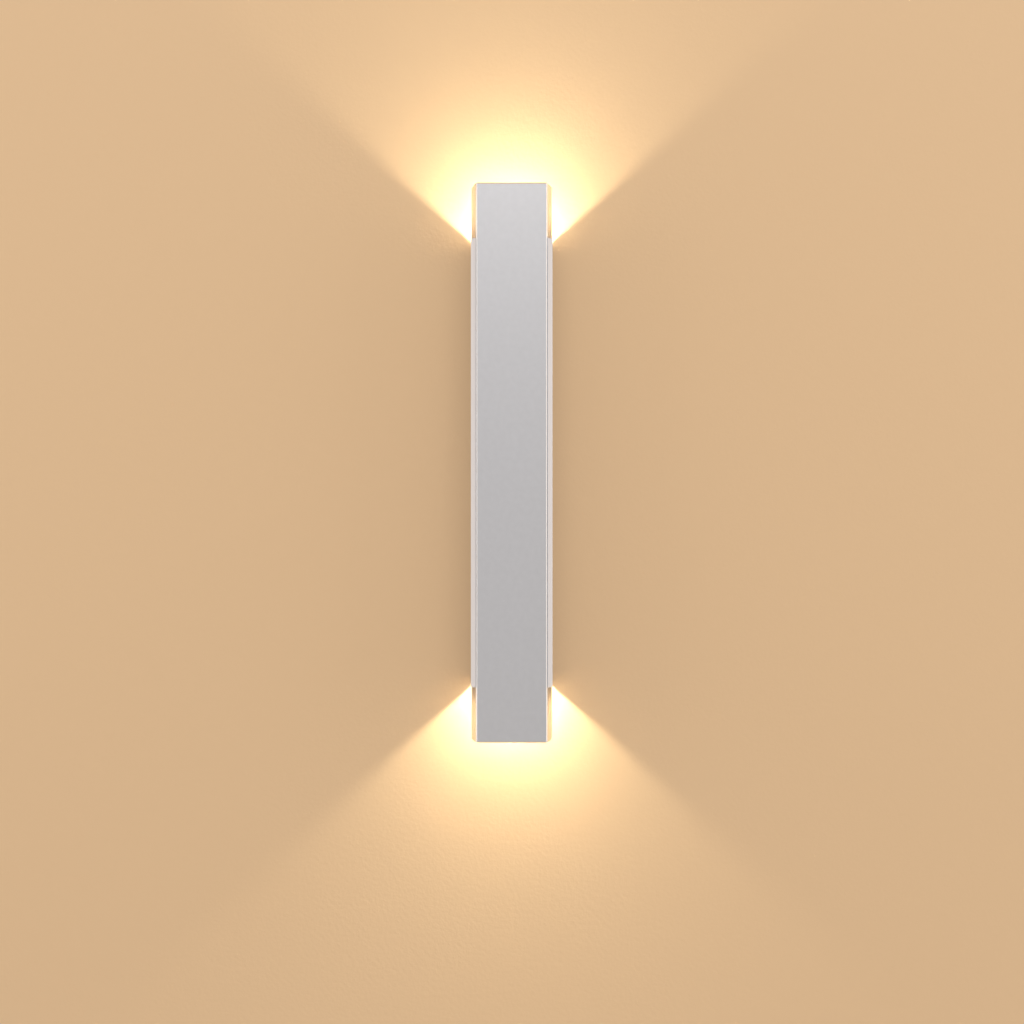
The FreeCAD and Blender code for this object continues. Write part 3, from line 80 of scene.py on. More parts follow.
# %% [markdown]
# ## How a pattern gets its size
# A noise texture at scale 1 has features about one metre across, because the object's
# coordinates are metres. So a grain of `size` millimetres has a scale of 1000 / size.
# Squeezing the coordinates along one axis draws the grain out into lines. A picture of
# the surface could be wrapped round it instead, but it would blur up close, so every
# finish here is worked out from noise.

# %% Grain helper
EVEN = (1, 1, 1)
GRAIN_DETAIL = 3.0


def grain(tree, size, stretch=EVEN):
    """Noise whose features are `size` mm across, drawn out where stretch is small."""
    place = add_node(tree, "ShaderNodeTexCoord")
    turned = add_node(tree, "ShaderNodeMapping",
                      {"Vector": place.outputs["Object"], "Scale": stretch})
    noise = add_node(tree, "ShaderNodeTexNoise",
                     {"Vector": turned.outputs["Vector"], "Scale": 1000 / size,
                      "Detail": GRAIN_DETAIL})
    return noise.outputs["Fac"]


# %% [markdown]
# ## What every finish has
# No real surface has one colour or one gloss. So each finish fades between two close
# colours in wide clouds, and its roughness and its relief follow one finer grain.
# Nearly all of a noise lies between 0.3 and 0.7, and that part is spread out in full.

# %% Finish helpers
NOISE_RANGE = {"From Min": 0.3, "From Max": 0.7}
CLOUD = 12  # a cloud of colour is as wide as this many grains
MIX_SOCKETS = {"RGBA": (6, 7, 2), "FLOAT": (2, 3, 0)}  # inputs A and B, and the result


def finish(name, colours, grain_size, roughness, metallic=0.0, bump=0.002,
           stretch=EVEN, **extra):
    """A finish from two close colours and a range of roughness, grain and bump in mm."""
    made = bpy.data.materials.new(name)
    made.use_nodes = True
    tree = made.node_tree
    shader = tree.nodes["Principled BSDF"]
    pattern = grain(tree, grain_size, stretch)
    cloud = grain(tree, grain_size * CLOUD, stretch)
    share = add_node(tree, "ShaderNodeMapRange", {"Value": cloud, **NOISE_RANGE})
    dark, light, result = MIX_SOCKETS["RGBA"]
    tint = add_node(tree, "ShaderNodeMix",
                    {"Factor": share.outputs["Result"],
                     dark: linear(colours[0]), light: linear(colours[1])},
                    data_type="RGBA")
    gloss = add_node(tree, "ShaderNodeMapRange",
                     {"Value": pattern, **NOISE_RANGE,
                      "To Min": roughness[0], "To Max": roughness[1]})
    relief = add_node(tree, "ShaderNodeBump", {"Height": pattern, "Distance": bump * MM})
    tree.links.new(tint.outputs[result], shader.inputs["Base Color"])
    tree.links.new(gloss.outputs["Result"], shader.inputs["Roughness"])
    tree.links.new(relief.outputs["Normal"], shader.inputs["Normal"])
    shader.inputs["Metallic"].default_value = metallic
    for socket, value in extra.items():
        shader.inputs[socket.replace("_", " ")].default_value = value
    return made


def dress(material, *names):
    """Gives CAD nodes a finish in place of their plain one."""
    for name in names:
        mesh = nodes[name].data
        mesh.materials.clear()
        mesh.materials.append(material)
    print(material.name, "on", ", ".join(names))


# %% [markdown]
# ## Aluminium
# The plate, the tube and the hoods are bead-blasted and anodised: the oxide layer is
# clear, so the metal's own grey shows through a soft, even sheen. The sheen could come
# from anisotropy, but blasting has no direction, so a rough metal with a faint bump is
# enough. The extruded tube also keeps die lines along its length.

# %% Aluminium finishes
ALONG_Z = (1, 1, 0.004)
ALONG_Y = (1, 0.01, 1)
# The blasted pits are finer than 0.1 mm, drawn at 0.35 mm, the finest that shows here.
satin_plate = finish("anodised_aluminium_plate", ("#C9C7C7", "#CCCACA"), 0.35,
                     (0.35, 0.38), metallic=1.0, bump=0.0006)
satin_hood = finish("anodised_aluminium_sheet", ("#C5C2BF", "#CAC7C4"), 0.35,
                    (0.30, 0.38), metallic=1.0, bump=0.0015)
# Die lines half a millimetre apart and about 110 mm long catch the light as streaks.
satin_tube = finish("anodised_aluminium_extrusion", ("#CDCDD0", "#D8D8DB"), 0.45,
                    (0.28, 0.40), metallic=1.0, bump=0.004, stretch=ALONG_Z)
# The sinks and the tray are left as the mill made them: die lines and rolling lines.
mill_sink = finish("mill_finish_aluminium_extrusion", ("#C4C5C7", "#D2D3D4"), 0.5,
                   (0.30, 0.45), metallic=1.0, bump=0.004, stretch=ALONG_Y)
mill_sheet = finish("mill_finish_aluminium_sheet", ("#BFC0C2", "#CFD0D1"), 0.6,
                    (0.32, 0.48), metallic=1.0, bump=0.003, stretch=ALONG_Z)

# %% [markdown]
# ## Painted highlights on the plate's edges
# The plate's bevels are painted much whiter than its face, a painted highlight along its
# edges, and they are glossier too. They could be a piece of their own, but they are one
# metal with the face: the colour and gloss change where the plate's flat rectangle ends.

# %% Painted highlight on the plate's edges
PLATE_BEVEL = 0.9
# The edge colour is a painted highlight, much whiter than the face; the lower roughness
# is real gloss.
EDGE_HIGHLIGHT_COLOUR, EDGE_ROUGHNESS = "#F2F1F0", 0.24


def beyond_rectangle(tree, half_width, half_height):
    """Is 1 outside an upright rectangle about the origin, in mm, and 0 inside it."""
    place = add_node(tree, "ShaderNodeTexCoord")
    axes = add_node(tree, "ShaderNodeSeparateXYZ", {"Vector": place.outputs["Object"]})
    outside = []
    for axis, half in (("X", half_width), ("Z", half_height)):
        size = add_node(tree, "ShaderNodeMath", {0: axes.outputs[axis]},
                        operation="ABSOLUTE")
        beyond = add_node(tree, "ShaderNodeMath", {0: size.outputs[0], 1: half * MM},
                          operation="GREATER_THAN")
        outside.append(beyond.outputs[0])
    either = add_node(tree, "ShaderNodeMath", {0: outside[0], 1: outside[1]},
                      operation="MAXIMUM")
    return either.outputs[0]


def highlight_edges(material, half_width, half_height):
    """Paints a highlight colour and a lower roughness on what lies outside a rectangle.
    """
    tree = material.node_tree
    shader = tree.nodes["Principled BSDF"]
    edge = beyond_rectangle(tree, half_width, half_height)
    for socket, kind, value in (("Base Color", "RGBA", linear(EDGE_HIGHLIGHT_COLOUR)),
                                ("Roughness", "FLOAT", EDGE_ROUGHNESS)):
        inside, outside, result = MIX_SOCKETS[kind]
        mix = add_node(tree, "ShaderNodeMix",
                       {"Factor": edge, outside: value,
                        inside: shader.inputs[socket].links[0].from_socket},
                       data_type=kind)
        tree.links.new(mix.outputs[result], shader.inputs[socket])


# The plate's bevels, outside its flat face, get the painted highlight colour.
plate_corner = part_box("front_plate")[1]
highlight_edges(satin_plate, plate_corner.x / MM - PLATE_BEVEL,
          plate_corner.z / MM - PLATE_BEVEL)
dress(satin_plate, "front_plate")
dress(satin_tube, "housing_tube")
dress(satin_hood, "upper_hood", "lower_hood")
dress(mill_sink, "upper_heat_sink", "lower_heat_sink")
dress(mill_sheet, "gear_tray")

# %% [markdown]
# ## Plated steel and copper
# The bracket and the fasteners are zinc plated and passivated: bright, a little blue,
# and cloudy where the bath left its mark. The contacts are tinned copper, whose warm
# base shows through. All are plain metals here, told apart by colour and gloss.

# %% Steel and copper finishes
# The sheet's clouds are wide and its gloss uneven; turned screws are finer and glossier.
zinc_sheet = finish("zinc_plated_steel_sheet", ("#B9BEC2", "#CDD0D2"), 1.2,
                    (0.26, 0.42), metallic=1.0, bump=0.003)
zinc_screw = finish("zinc_plated_steel_turned", ("#C3C6C9", "#D3D5D6"), 0.4,
                    (0.22, 0.34), metallic=1.0, bump=0.001)
tinned = finish("tinned_copper", ("#C9B79A", "#D8CCB8"), 0.5,
                (0.25, 0.38), metallic=1.0, bump=0.001)
dress(zinc_sheet, "wall_bracket", "left_nut_strip", "right_nut_strip")
dress(zinc_screw, "stud_nuts", "side_screws", "frame_screws", "board_screws",
      "tray_screws", "earth_screw", "lever_pin")
dress(tinned, "earth_tag", "terminal_contacts")

# %% [markdown]
# ## Plastics and rubbers
# Each moulding has a fine spark-eroded grain of about a quarter of a millimetre, and
# differs from the next mainly in colour and gloss. Rubber is darker and duller, and
# the seals let a little light in. One recipe makes them all, so they look related.

# %% Plastic and rubber finishes
bush_rubber = finish("epdm_rubber", ("#1B1B1C", "#242425"), 0.5, (0.60, 0.75),
                     bump=0.006)
pad_silicone = finish("filled_silicone_pad", ("#76808A", "#7E8892"), 0.4, (0.65, 0.8))
seal_silicone = finish("translucent_silicone", ("#D5D5CF", "#DDDDD8"), 0.6, (0.4, 0.5),
                       Subsurface_Weight=0.2)
board_mask = finish("white_solder_mask", ("#F0F0EC", "#F5F5F2"), 0.3, (0.30, 0.38))
white_moulding = finish("white_polycarbonate", ("#EFEFEB", "#F4F4F1"), 0.25,
                        (0.22, 0.30))
driver_moulding = finish("white_abs_moulding", ("#E2E2DE", "#E8E8E4"), 0.25,
                         (0.42, 0.52), bump=0.005)
block_moulding = finish("grey_polyamide_moulding", ("#CBCDCF", "#D2D4D6"), 0.25,
                        (0.35, 0.45), bump=0.004)
lever_moulding = finish("dark_grey_pbt_moulding", ("#4A4E52", "#52565A"), 0.25,
                        (0.35, 0.45), bump=0.004)
circuit_laminate = finish("green_glass_epoxy_laminate", ("#1C5A34", "#226A3E"), 0.5,
                          (0.35, 0.45))
dark_sleeve = finish("black_sleeve", ("#1A1B1E", "#222326"), 0.4, (0.35, 0.5))

# %% Dress the mouldings, pads and seals
dress(bush_rubber, "cable_grommet", "tray_edging")
dress(pad_silicone, "upper_thermal_pad", "lower_thermal_pad")
dress(seal_silicone, "upper_window_seal", "lower_window_seal")
dress(board_mask, "upper_led_board", "lower_led_board")
dress(white_moulding, "upper_reflector", "lower_reflector")
dress(driver_moulding, "driver_base", "driver_lid", "lead_clips")
dress(block_moulding, "terminal_block", "driver_headers")
dress(lever_moulding, "live_lever", "neutral_lever", "earth_lever")
dress(circuit_laminate, "driver_circuit")
dress(dark_sleeve, "driver_transformer", "driver_capacitors")

# %% [markdown]
# ## Leads
# A lead is a copper core in a smooth, slightly glossy PVC sleeve, and its colour tells
# its job. The sleeves differ in colour alone, so one loop makes and fits them all.

# %% Lead insulation, one colour for each job
LEADS = (
    ("red", ("#8E1512", "#9A1B17"), ("upper_positive_lead", "lower_positive_lead")),
    ("black", ("#19191A", "#212122"), ("upper_negative_lead", "lower_negative_lead")),
    ("brown", ("#4A2A18", "#55321E"), ("live_lead",)),
    ("blue", ("#1B3F86", "#234A94"), ("neutral_lead",)),
    ("green", ("#3F7A2A", "#4A8832"), ("earth_lead",)),
)
for colour, shades, names in LEADS:
    dress(finish(f"pvc_insulation_{colour}", shades, 0.4, (0.35, 0.45)), *names)

# %% [markdown]
# ## The lamps
# Each emitter is a yellow phosphor layer over blue chips, and gives warm white light of
# about 3000 K. A lamp object could stand in for it, but then the emitter itself would
# look dark, so the layer's own surface shines. The pane over it is clear acrylic: most
# of the light passes, so its alpha is low and only its surface reflections are left.

# %% Emitter and window finishes
LAMP_COLOUR = "#FFF8DE"
LAMP_STRENGTH = 5000.0
phosphor = finish("warm_white_phosphor", ("#E8B840", "#EFC24E"), 0.3, (0.5, 0.6),
                  Emission_Color=linear(LAMP_COLOUR), Emission_Strength=LAMP_STRENGTH)
acrylic = finish("clear_acrylic", ("#F4F8F8", "#F8FBFB"), 2.0, (0.04, 0.07), bump=0.0002,
                 Alpha=0.12, IOR=1.49)
dam_silicone = finish("white_dam_silicone", ("#ECECE6", "#F1F1EC"), 0.3, (0.35, 0.45))
solder = finish("tin_solder", ("#C8CACC", "#D8DADB"), 0.4, (0.18, 0.30),
                metallic=1.0, bump=0.001)
dress(acrylic, "upper_window", "lower_window")

# %% [markdown]
# ## Turned pieces
# A screw head, a solder joint and the ring round the emitter are all round, so they
# are drawn as a stack of rings. It could be a spin; here a ring is extruded and scaled
# step by step, which also lets the first ring be a six-sided or a cross-shaped socket.

# %% Selecting, growing and finishing a mesh
TOUCH = 0.01         # mm, how far from a ring a point may lie and still be on it
SAME_POINT = 0.002   # mm, points as near as this are merged
SHARP = 35           # degrees, an edge that turns by more stays sharp


def only(objects):
    """Selects these objects and nothing else."""
    bpy.ops.object.select_all(action="DESELECT")
    for item in objects:
        item.select_set(True)
    bpy.context.view_layer.objects.active = objects[0]


def pick(wanted):
    """In edit mode, selects the vertices whose place meets the condition."""
    bpy.ops.mesh.select_all(action="DESELECT")
    mesh = bmesh.from_edit_mesh(bpy.context.object.data)
    for vertex in mesh.verts:
        vertex.select = wanted(vertex.co)
    mesh.select_flush_mode()
    bmesh.update_edit_mesh(bpy.context.object.data)


def grow(rings):
    """Extrudes the selected ring through (radius, height) steps given in mm."""
    (radius, height), *rest = rings
    for next_radius, next_height in rest:
        bpy.ops.mesh.extrude_region_move(
            TRANSFORM_OT_translate={"value": (0, 0, (next_height - height) * MM)})
        share = next_radius / radius
        bpy.ops.transform.resize(value=(share, share, 1), center_override=(0, 0, 0))
        radius, height = next_radius, next_height


def finish_mesh(name, angle=SHARP):
    """Merges doubles, turns the faces outwards, smooths and names the piece."""
    bpy.ops.mesh.select_all(action="SELECT")
    bpy.ops.mesh.remove_doubles(threshold=SAME_POINT * MM)
    bpy.ops.mesh.normals_make_consistent(inside=False)
    bpy.ops.object.mode_set(mode="OBJECT")
    bpy.ops.object.shade_smooth_by_angle(angle=math.radians(angle))
    made = bpy.context.object
    made.name = name
    made.data.name = name
    return made


# %% A screw with a socket in its head
ROUND = 28                               # corners of a turned piece
SOCKET_CORNERS = {"hex": 6, "cross": 12}
SOCKET_TURN = math.radians(15)           # sets four of the cross's corners diagonally
CROSS_WAIST = 0.366                      # how far in these four go
SOCKET_FLOOR = 0.9                       # the floor's width as a share of the mouth's


def screw(name, socket, rings, depth):
    """rings runs from the head's top rim to the tip; socket is (kind, radius) in mm."""
    kind, radius = socket
    bpy.ops.object.select_all(action="DESELECT")
    bpy.ops.mesh.primitive_circle_add(vertices=SOCKET_CORNERS[kind], radius=radius * MM,
                                      rotation=(0, 0, SOCKET_TURN))
    bpy.ops.object.transform_apply(location=True, rotation=True, scale=True)
    bpy.ops.object.mode_set(mode="EDIT")
    if kind == "cross":
        pick(lambda p: abs(abs(p.x) - abs(p.y)) < TOUCH * MM)
        bpy.ops.transform.resize(value=(CROSS_WAIST, CROSS_WAIST, 1),
                                 center_override=(0, 0, 0))
    top_radius, top_height = rings[0]
    bpy.ops.mesh.primitive_circle_add(vertices=ROUND, radius=top_radius * MM,
                                      location=(0, 0, top_height * MM))
    bpy.ops.mesh.select_all(action="SELECT")
    bpy.ops.mesh.bridge_edge_loops()
    pick(lambda p: p.xy.length < (radius + TOUCH) * MM)
    grow([(1.0, 0.0), (SOCKET_FLOOR, -depth)])
    bpy.ops.mesh.edge_face_add()
    pick(lambda p: p.xy.length > (top_radius - TOUCH) * MM)
    grow(rings)
    bpy.ops.mesh.edge_face_add()
    return finish_mesh(name)


# %% Copies of a piece, set out and joined
def set_out(name, source, places, material):
    """Copies a piece to each (origin in mm, facing), each with its own mesh, as one."""
    made = []
    for origin, facing in places:
        only([source])
        bpy.ops.object.duplicate()
        one = bpy.context.object
        one.location = Vector(origin) * MM
        one.rotation_euler = Vector(facing).to_track_quat("Z", "Y").to_euler()
        made.append(one)
    only(made)
    bpy.ops.object.join()
    bpy.ops.object.transform_apply(location=True, rotation=True, scale=True)
    piece = bpy.context.object
    piece.name = name
    piece.data.materials.clear()
    piece.data.materials.append(material)
    bpy.data.objects.remove(source)
    print(name, len(places), "copies,", len(piece.data.polygons), "faces")
    return piece


# %% [markdown]
# ## The screws
# The four side screws are the only ones a hand reaches: countersunk, with a hexagon
# socket. Those inside have pan heads with a cross recess, cheaper and quicker to drive.
# The recess could be a dark mark, but light falls into a real one, so it is modelled.

# %% Where the screws sit, and their heads in mm
BOTH = (-1, 1)
SIDE, CLAMP_REACH, CLAMP_ROW = 29.2, 12.0, 35.0
LAMP_LINE, BOARD_FACE, SCREW_GAP = 25.0, 137.0, 15.1875
FOOT_FACE, FOOT_ROW = 26.0, 78.0
EARTH_SEAT, EARTH_SIDE, EARTH_LEVEL = 20.2, 14.0, 101.0
PAN_TOP = 2.0
SUNK_HEAD = [(2.55, 0), (2.86, -0.1), (2.9, -0.25),
             (1.5, -1.6), (1.5, -7.6), (1.1, -8.0)]
PAN_HEAD = [(1.9, 0), (2.45, -0.35), (2.8, -1.0), (2.8, -2.0),
            (1.5, -2.0), (1.5, -7.6), (1.1, -8.0)]
EARTH_HEAD = [(2.5, 0), (3.1, -0.35), (3.5, -1.0), (3.5, -2.0),
              (2.0, -2.0), (2.0, -7.5), (1.5, -8.0)]
side_places = [((x * SIDE, -CLAMP_REACH, z * CLAMP_ROW), (x, 0, 0))
               for x in BOTH for z in BOTH]
board_places = [((x * SCREW_GAP, -LAMP_LINE, z * (BOARD_FACE + PAN_TOP)), (0, 0, z))
                for x in BOTH for z in BOTH]
tray_places = [((0, -FOOT_FACE - PAN_TOP, z * FOOT_ROW), (0, -1, 0)) for z in BOTH]
earth_places = [((EARTH_SIDE, -EARTH_SEAT + PAN_TOP, -EARTH_LEVEL), (0, 1, 0))]

# %% Side, board, tray and earth screws
SCREWS = (  # the piece, its node, its socket and that one's depth, its rings, its places
    ("side_socket_screws", "side_screws", ("hex", 1.15), 1.3, SUNK_HEAD, side_places),
    ("board_pan_screws", "board_screws", ("cross", 1.35), 1.2, PAN_HEAD, board_places),
    ("tray_pan_screws", "tray_screws", ("cross", 1.35), 1.2, PAN_HEAD, tray_places),
    ("earth_pan_screw", "earth_screw", ("cross", 1.7), 1.3, EARTH_HEAD, earth_places),
)
for name, node, socket, depth, rings, places in SCREWS:
    source = screw(f"{node}_source", socket, rings, depth)
    piece = set_out(name, source, places, zinc_screw)
    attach(piece, "housing")
    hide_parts(node)

# %% [markdown]
# ## The emitter
# The chips sit under a disc of phosphor inside a white silicone dam, a bead laid round
# them before the phosphor is poured. One lit block would do for the light, but a dark
# lamp shows the ring and the disc apart, so they are two pieces with two finishes.

# %% A bead and a dome
FINE = 48         # corners of a ring that is seen close to
SMALL = 24        # corners of a small cap
ROUNDED = 60      # degrees, so that a dome is smooth all over


def bead(name, inner, outer, height):
    """A ring with a domed top: a circle grown up, over and down again."""
    bpy.ops.object.select_all(action="DESELECT")
    bpy.ops.mesh.primitive_circle_add(vertices=FINE, radius=outer * MM)
    bpy.ops.object.mode_set(mode="EDIT")
    width = outer - inner
    grow([(outer, 0), (outer, height * 0.6), (outer - width * 0.15, height * 0.9),
          (outer - width * 0.4, height), (inner + width * 0.4, height),
          (inner + width * 0.15, height * 0.9), (inner, height * 0.6), (inner, 0)])
    pick(lambda p: p.z < TOUCH * MM)
    bpy.ops.mesh.bridge_edge_loops()
    return finish_mesh(name)


def dome(name, radius, height, corners=SMALL):
    """A low rounded cap, flat underneath."""
    bpy.ops.object.select_all(action="DESELECT")
    bpy.ops.mesh.primitive_circle_add(vertices=corners, radius=radius * MM)
    bpy.ops.object.mode_set(mode="EDIT")
    bpy.ops.mesh.edge_face_add()
    grow([(radius, 0), (radius * 0.92, height * 0.45), (radius * 0.7, height * 0.8),
          (radius * 0.35, height)])
    return finish_mesh(name, ROUNDED)


# %% Phosphor disc and dam
PHOSPHOR_RADIUS, DAM_RADIUS, EMITTER_HEIGHT = 3.6, 6.0, 0.8
PHOSPHOR_HEIGHT = EMITTER_HEIGHT * 0.75
for end, up in (("upper", 1), ("lower", -1)):
    seat = [((0, -LAMP_LINE, up * BOARD_FACE), (0, 0, up))]
    disc = set_out(f"{end}_phosphor_disc",
                   dome("disc", PHOSPHOR_RADIUS, PHOSPHOR_HEIGHT, FINE), seat, phosphor)
    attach(disc, "housing")
    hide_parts(f"{end}_led_emitter")
    ring = set_out(f"{end}_emitter_dam",
                   bead("dam", PHOSPHOR_RADIUS, DAM_RADIUS, EMITTER_HEIGHT),
                   seat, dam_silicone)
    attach(ring, "housing")

# %% [markdown]
# ## Solder joints
# Each lamp lead ends in a solder joint on the board: tin that wetted the pad and set
# with a smooth round back. The same dome as the phosphor's, made smaller, will do.

# %% Solder joints
LEAD_SIDE, LEAD_REACH = 9.1125, 39.0
JOINT_RADIUS, JOINT_HEIGHT = 1.75, 1.1
joints = set_out(
    "solder_joints", dome("joint", JOINT_RADIUS, JOINT_HEIGHT),
    [((x * LEAD_SIDE, -LEAD_REACH, z * BOARD_FACE), (0, 0, z))
     for x in BOTH for z in BOTH], solder)
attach(joints, "housing")

# %% [markdown]
# ## The earth tag's barrel
# The earth lead is gripped by a barrel rolled from the tag's own sheet. A tube could be
# bridged from two circles, but an open cylinder with a solidify modifier is quicker,
# and its wall is the sheet's thickness by one number.

# %% Earth barrel
BARREL_RADIUS, BARREL_LENGTH, BARREL_WALL, BARREL_RIM = 1.5, 6.0, 0.4, 0.1
BARREL_REACH, BARREL_LEVEL = 19.2, -92.5
bpy.ops.object.select_all(action="DESELECT")
bpy.ops.mesh.primitive_cylinder_add(vertices=ROUND, radius=BARREL_RADIUS * MM,
                                    depth=BARREL_LENGTH * MM, end_fill_type="NOTHING")
barrel = bpy.context.object
solid = barrel.modifiers.new("wall", "SOLIDIFY")
solid.thickness = BARREL_WALL * MM
solid.offset = -1
rim = barrel.modifiers.new("rim", "BEVEL")
rim.width = BARREL_RIM * MM
rim.segments = 2
for modifier in ("wall", "rim"):
    bpy.ops.object.modifier_apply(modifier=modifier)
bpy.ops.object.shade_smooth_by_angle(angle=math.radians(SHARP))
barrel = set_out("earth_crimp_barrel", barrel,
                 [((EARTH_SIDE, -BARREL_REACH, BARREL_LEVEL), (0, 0, 1))], tinned)
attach(barrel, "housing")

# %% [markdown]
# ## The levers' grips
# Three small ribs near each lever's tip give a fingernail a hold. They could be a bump
# in the material, but they stand out enough to be felt: one bar is softened and set in
# a row by an array, and it turns with its lever.

# %% Lever grips
POLE_PITCH, GRIP_REACH, GRIP_LEVEL = 6.2, 12.5, -63.6
GRIP_COUNT, GRIP_WIDTH, GRIP_HEIGHT, GRIP_PITCH, GRIP_BEVEL = 3, 3.6, 0.35, 1.0, 0.15
for pole, name in enumerate(("live", "neutral", "earth"), start=-1):
    bpy.ops.object.select_all(action="DESELECT")
    bpy.ops.mesh.primitive_cube_add(size=1)
    grip = bpy.context.object
    # A rib is as deep in the lever as it is high, and as wide as the gap to the next.
    grip.scale = (GRIP_WIDTH * MM, GRIP_HEIGHT * 2 * MM, GRIP_PITCH * 0.5 * MM)
    bpy.ops.object.transform_apply(location=True, rotation=True, scale=True)
    row = grip.modifiers.new("row", "ARRAY")
    row.count = GRIP_COUNT
    row.use_relative_offset = False
    row.use_constant_offset = True
    row.constant_offset_displace = (0, 0, -GRIP_PITCH * MM)
    soft = grip.modifiers.new("soft", "BEVEL")
    soft.width = GRIP_BEVEL * MM
    soft.segments = 3
    for modifier in ("row", "soft"):
        bpy.ops.object.modifier_apply(modifier=modifier)
    grip.location = (pole * POLE_PITCH * MM, -GRIP_REACH * MM, GRIP_LEVEL * MM)
    bpy.ops.object.transform_apply(location=True, rotation=True, scale=True)
    grip.name = f"{name}_lever_grip"
    grip.data.materials.append(lever_moulding)
    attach(grip, f"{name}_clamp")
    print(grip.name, GRIP_COUNT, "ribs,", len(grip.data.polygons), "faces")

# %% [markdown]
# ## Wall and floor
# A wall light is seen against its wall, so a plain pale wall stands behind it and
# catches the two fans of light. It could be solid, but then the back of the light could
# never be looked at. So it shows only from the front, to the camera and to reflections,
# and the part behind the tube is left out of reflections, or the tube's inside, which
# is open towards it, would look dark.

# %% Stage
STAGE_SIZE, FLOOR_LEVEL, WALL_GAP = 6.0, -1.2, 0.0003  # metres
UPRIGHT = math.radians(90)
WALL_COLOUR, FLOOR_COLOUR = "#D5B38B", "#E4DED4"
PAINT_GRAIN, PAINT_BUMP, PAINT_ROUGHNESS = 3.0, 0.12, 0.9
HIDDEN_SHARE = 0.98  # of the tube's outline, so that no edge of it shows


def plane(name, place, turned=0.0):
    """A large flat square."""
    bpy.ops.object.select_all(action="DESELECT")
    bpy.ops.mesh.primitive_plane_add(size=STAGE_SIZE, location=place,
                                     rotation=(turned, 0, 0))
    made = bpy.context.object
    made.name = name
    bpy.ops.object.transform_apply(location=True, rotation=True, scale=True)
    return made


def stage_paint(name, colour):
    """Matt rolled paint, with the faint orange-peel texture of a roller."""
    made = bpy.data.materials.new(name)
    made.use_nodes = True
    tree = made.node_tree
    shader = tree.nodes["Principled BSDF"]
    relief = add_node(tree, "ShaderNodeBump",
                      {"Height": grain(tree, PAINT_GRAIN), "Distance": PAINT_BUMP * MM})
    tree.links.new(relief.outputs["Normal"], shader.inputs["Normal"])
    shader.inputs["Base Color"].default_value = linear(colour)
    shader.inputs["Roughness"].default_value = PAINT_ROUGHNESS
    return made


def show_from_front(material, half_width, half_height):
    """Clears a paint for all but camera rays and reflections from the front; those
    reflections miss the middle, whose half width and half height are given in mm."""
    tree = material.node_tree
    path = add_node(tree, "ShaderNodeLightPath")
    side = add_node(tree, "ShaderNodeNewGeometry")
    beyond = beyond_rectangle(tree, half_width, half_height)
    mirrored = add_node(tree, "ShaderNodeMath",
                        {0: path.outputs["Is Glossy Ray"], 1: beyond},
                        operation="MULTIPLY")
    seen = add_node(tree, "ShaderNodeMath",
                    {0: path.outputs["Is Camera Ray"], 1: mirrored.outputs[0]},
                    operation="MAXIMUM")
    front = add_node(tree, "ShaderNodeMath", {0: 1.0, 1: side.outputs["Backfacing"]},
                     operation="SUBTRACT")
    shown = add_node(tree, "ShaderNodeMath", {0: seen.outputs[0], 1: front.outputs[0]},
                     operation="MULTIPLY")
    clear = add_node(tree, "ShaderNodeBsdfTransparent")
    paint = tree.nodes["Principled BSDF"]
    mix = add_node(tree, "ShaderNodeMixShader",
                   {0: shown.outputs[0], 1: clear.outputs[0], 2: paint.outputs[0]})
    tree.links.new(mix.outputs[0], tree.nodes["Material Output"].inputs["Surface"])


# %% Wall and floor
wall_paint = stage_paint("stage_wall_paint", WALL_COLOUR)
tube_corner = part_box("housing_tube")[1]
show_from_front(wall_paint, HIDDEN_SHARE * tube_corner.x / MM,
                HIDDEN_SHARE * tube_corner.z / MM)
wall = plane("stage_wall", (0, WALL_GAP, 0), turned=UPRIGHT)
wall.data.materials.append(wall_paint)
floor = plane("stage_floor", (0, 0, FLOOR_LEVEL))
floor.data.materials.append(stage_paint("stage_floor_paint", FLOOR_COLOUR))
print("stage", STAGE_SIZE, "m wide, floor", FLOOR_LEVEL, "m")

# %% [markdown]
# ## Studio light
# A soft box is a large lamp, and the larger it is, the softer its shadow. The key light
# stands high in front, one box at each side lights the cut corners, and one behind
# lights the back. They could be one bright sky, but metal needs something to mirror.

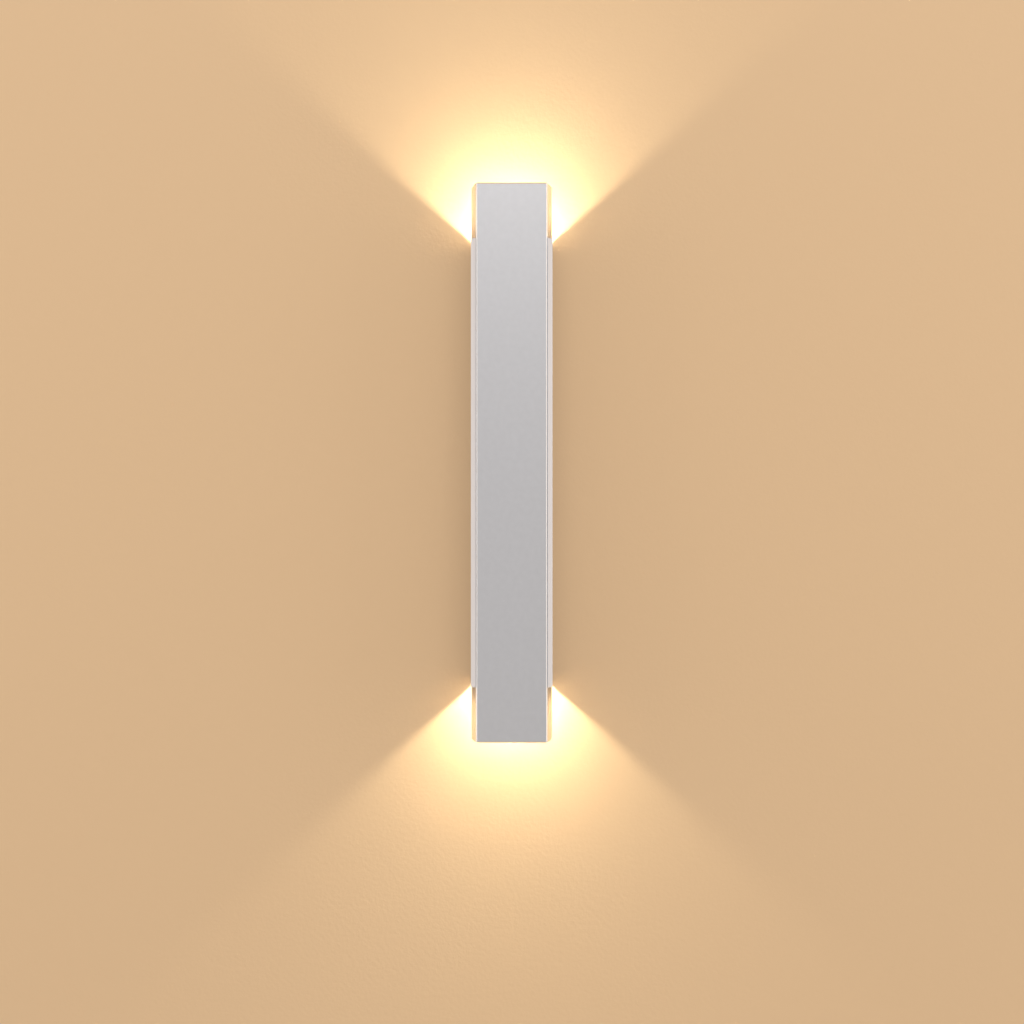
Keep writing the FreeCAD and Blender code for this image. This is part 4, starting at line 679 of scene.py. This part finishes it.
# %% Soft studio light
SKY_COLOUR, SKY_STRENGTH = "#DDDCDD", 1.02
LIGHTS = (  # name, place, aim and size in metres, power in watts
    ("key_light", (0.1, -1.7, 1.42), (0, 0, 0), (1.4, 1.4), 15.5),
    ("right_light", (1.2, -0.36, 0.1), (0, -0.05, 0), (0.7, 1.6), 2.9),
    ("left_light", (-1.2, -0.36, 0.1), (0, -0.05, 0), (0.7, 1.6), 2.6),
    ("back_light", (0.3, 1.6, 0.9), (0, 0, 0), (1.4, 1.4), 14),
)
for name, place, aim, size, power in LIGHTS:
    data = bpy.data.lights.new(name, "AREA")
    data.shape = "RECTANGLE"
    data.size, data.size_y = size
    data.energy = power
    softbox = bpy.data.objects.new(name, data)
    bpy.context.scene.collection.objects.link(softbox)
    softbox.location = place
    to_aim = Vector(aim) - Vector(place)
    softbox.rotation_euler = to_aim.to_track_quat("-Z", "Y").to_euler()
    print(name, power, "W")

world = bpy.data.worlds.new("studio")
world.use_nodes = True
bpy.context.scene.world = world
sky = world.node_tree.nodes["Background"]
sky.inputs["Color"].default_value = linear(SKY_COLOUR)
sky.inputs["Strength"].default_value = SKY_STRENGTH
bpy.context.scene.view_settings.view_transform = "Standard"

# %% [markdown]
# ## The camera
# The light is seen square on. The perspective of the hoods' corners puts the camera
# about a metre and a half away, a little below the middle of the light. A long lens
# from there gives that perspective and still fills the frame.

# %% Camera
CAMERA_DISTANCE = 1445 * MM
FRONT_REACH = 50 * MM
CAMERA_SIDE, CAMERA_LEVEL = 0.2 * MM, -35.2 * MM
LENS, SENSOR = 71.2, 36.0
camera_data = bpy.data.cameras.new("camera")
camera_data.lens = LENS
camera_data.sensor_width = SENSOR
camera = bpy.data.objects.new("camera", camera_data)
bpy.context.scene.collection.objects.link(camera)
camera.location = (CAMERA_SIDE, -(FRONT_REACH + CAMERA_DISTANCE), CAMERA_LEVEL)
camera.rotation_euler = (UPRIGHT, 0, 0)
bpy.context.scene.camera = camera
print("camera", round(CAMERA_DISTANCE, 3), "m from the front,", LENS, "mm lens")
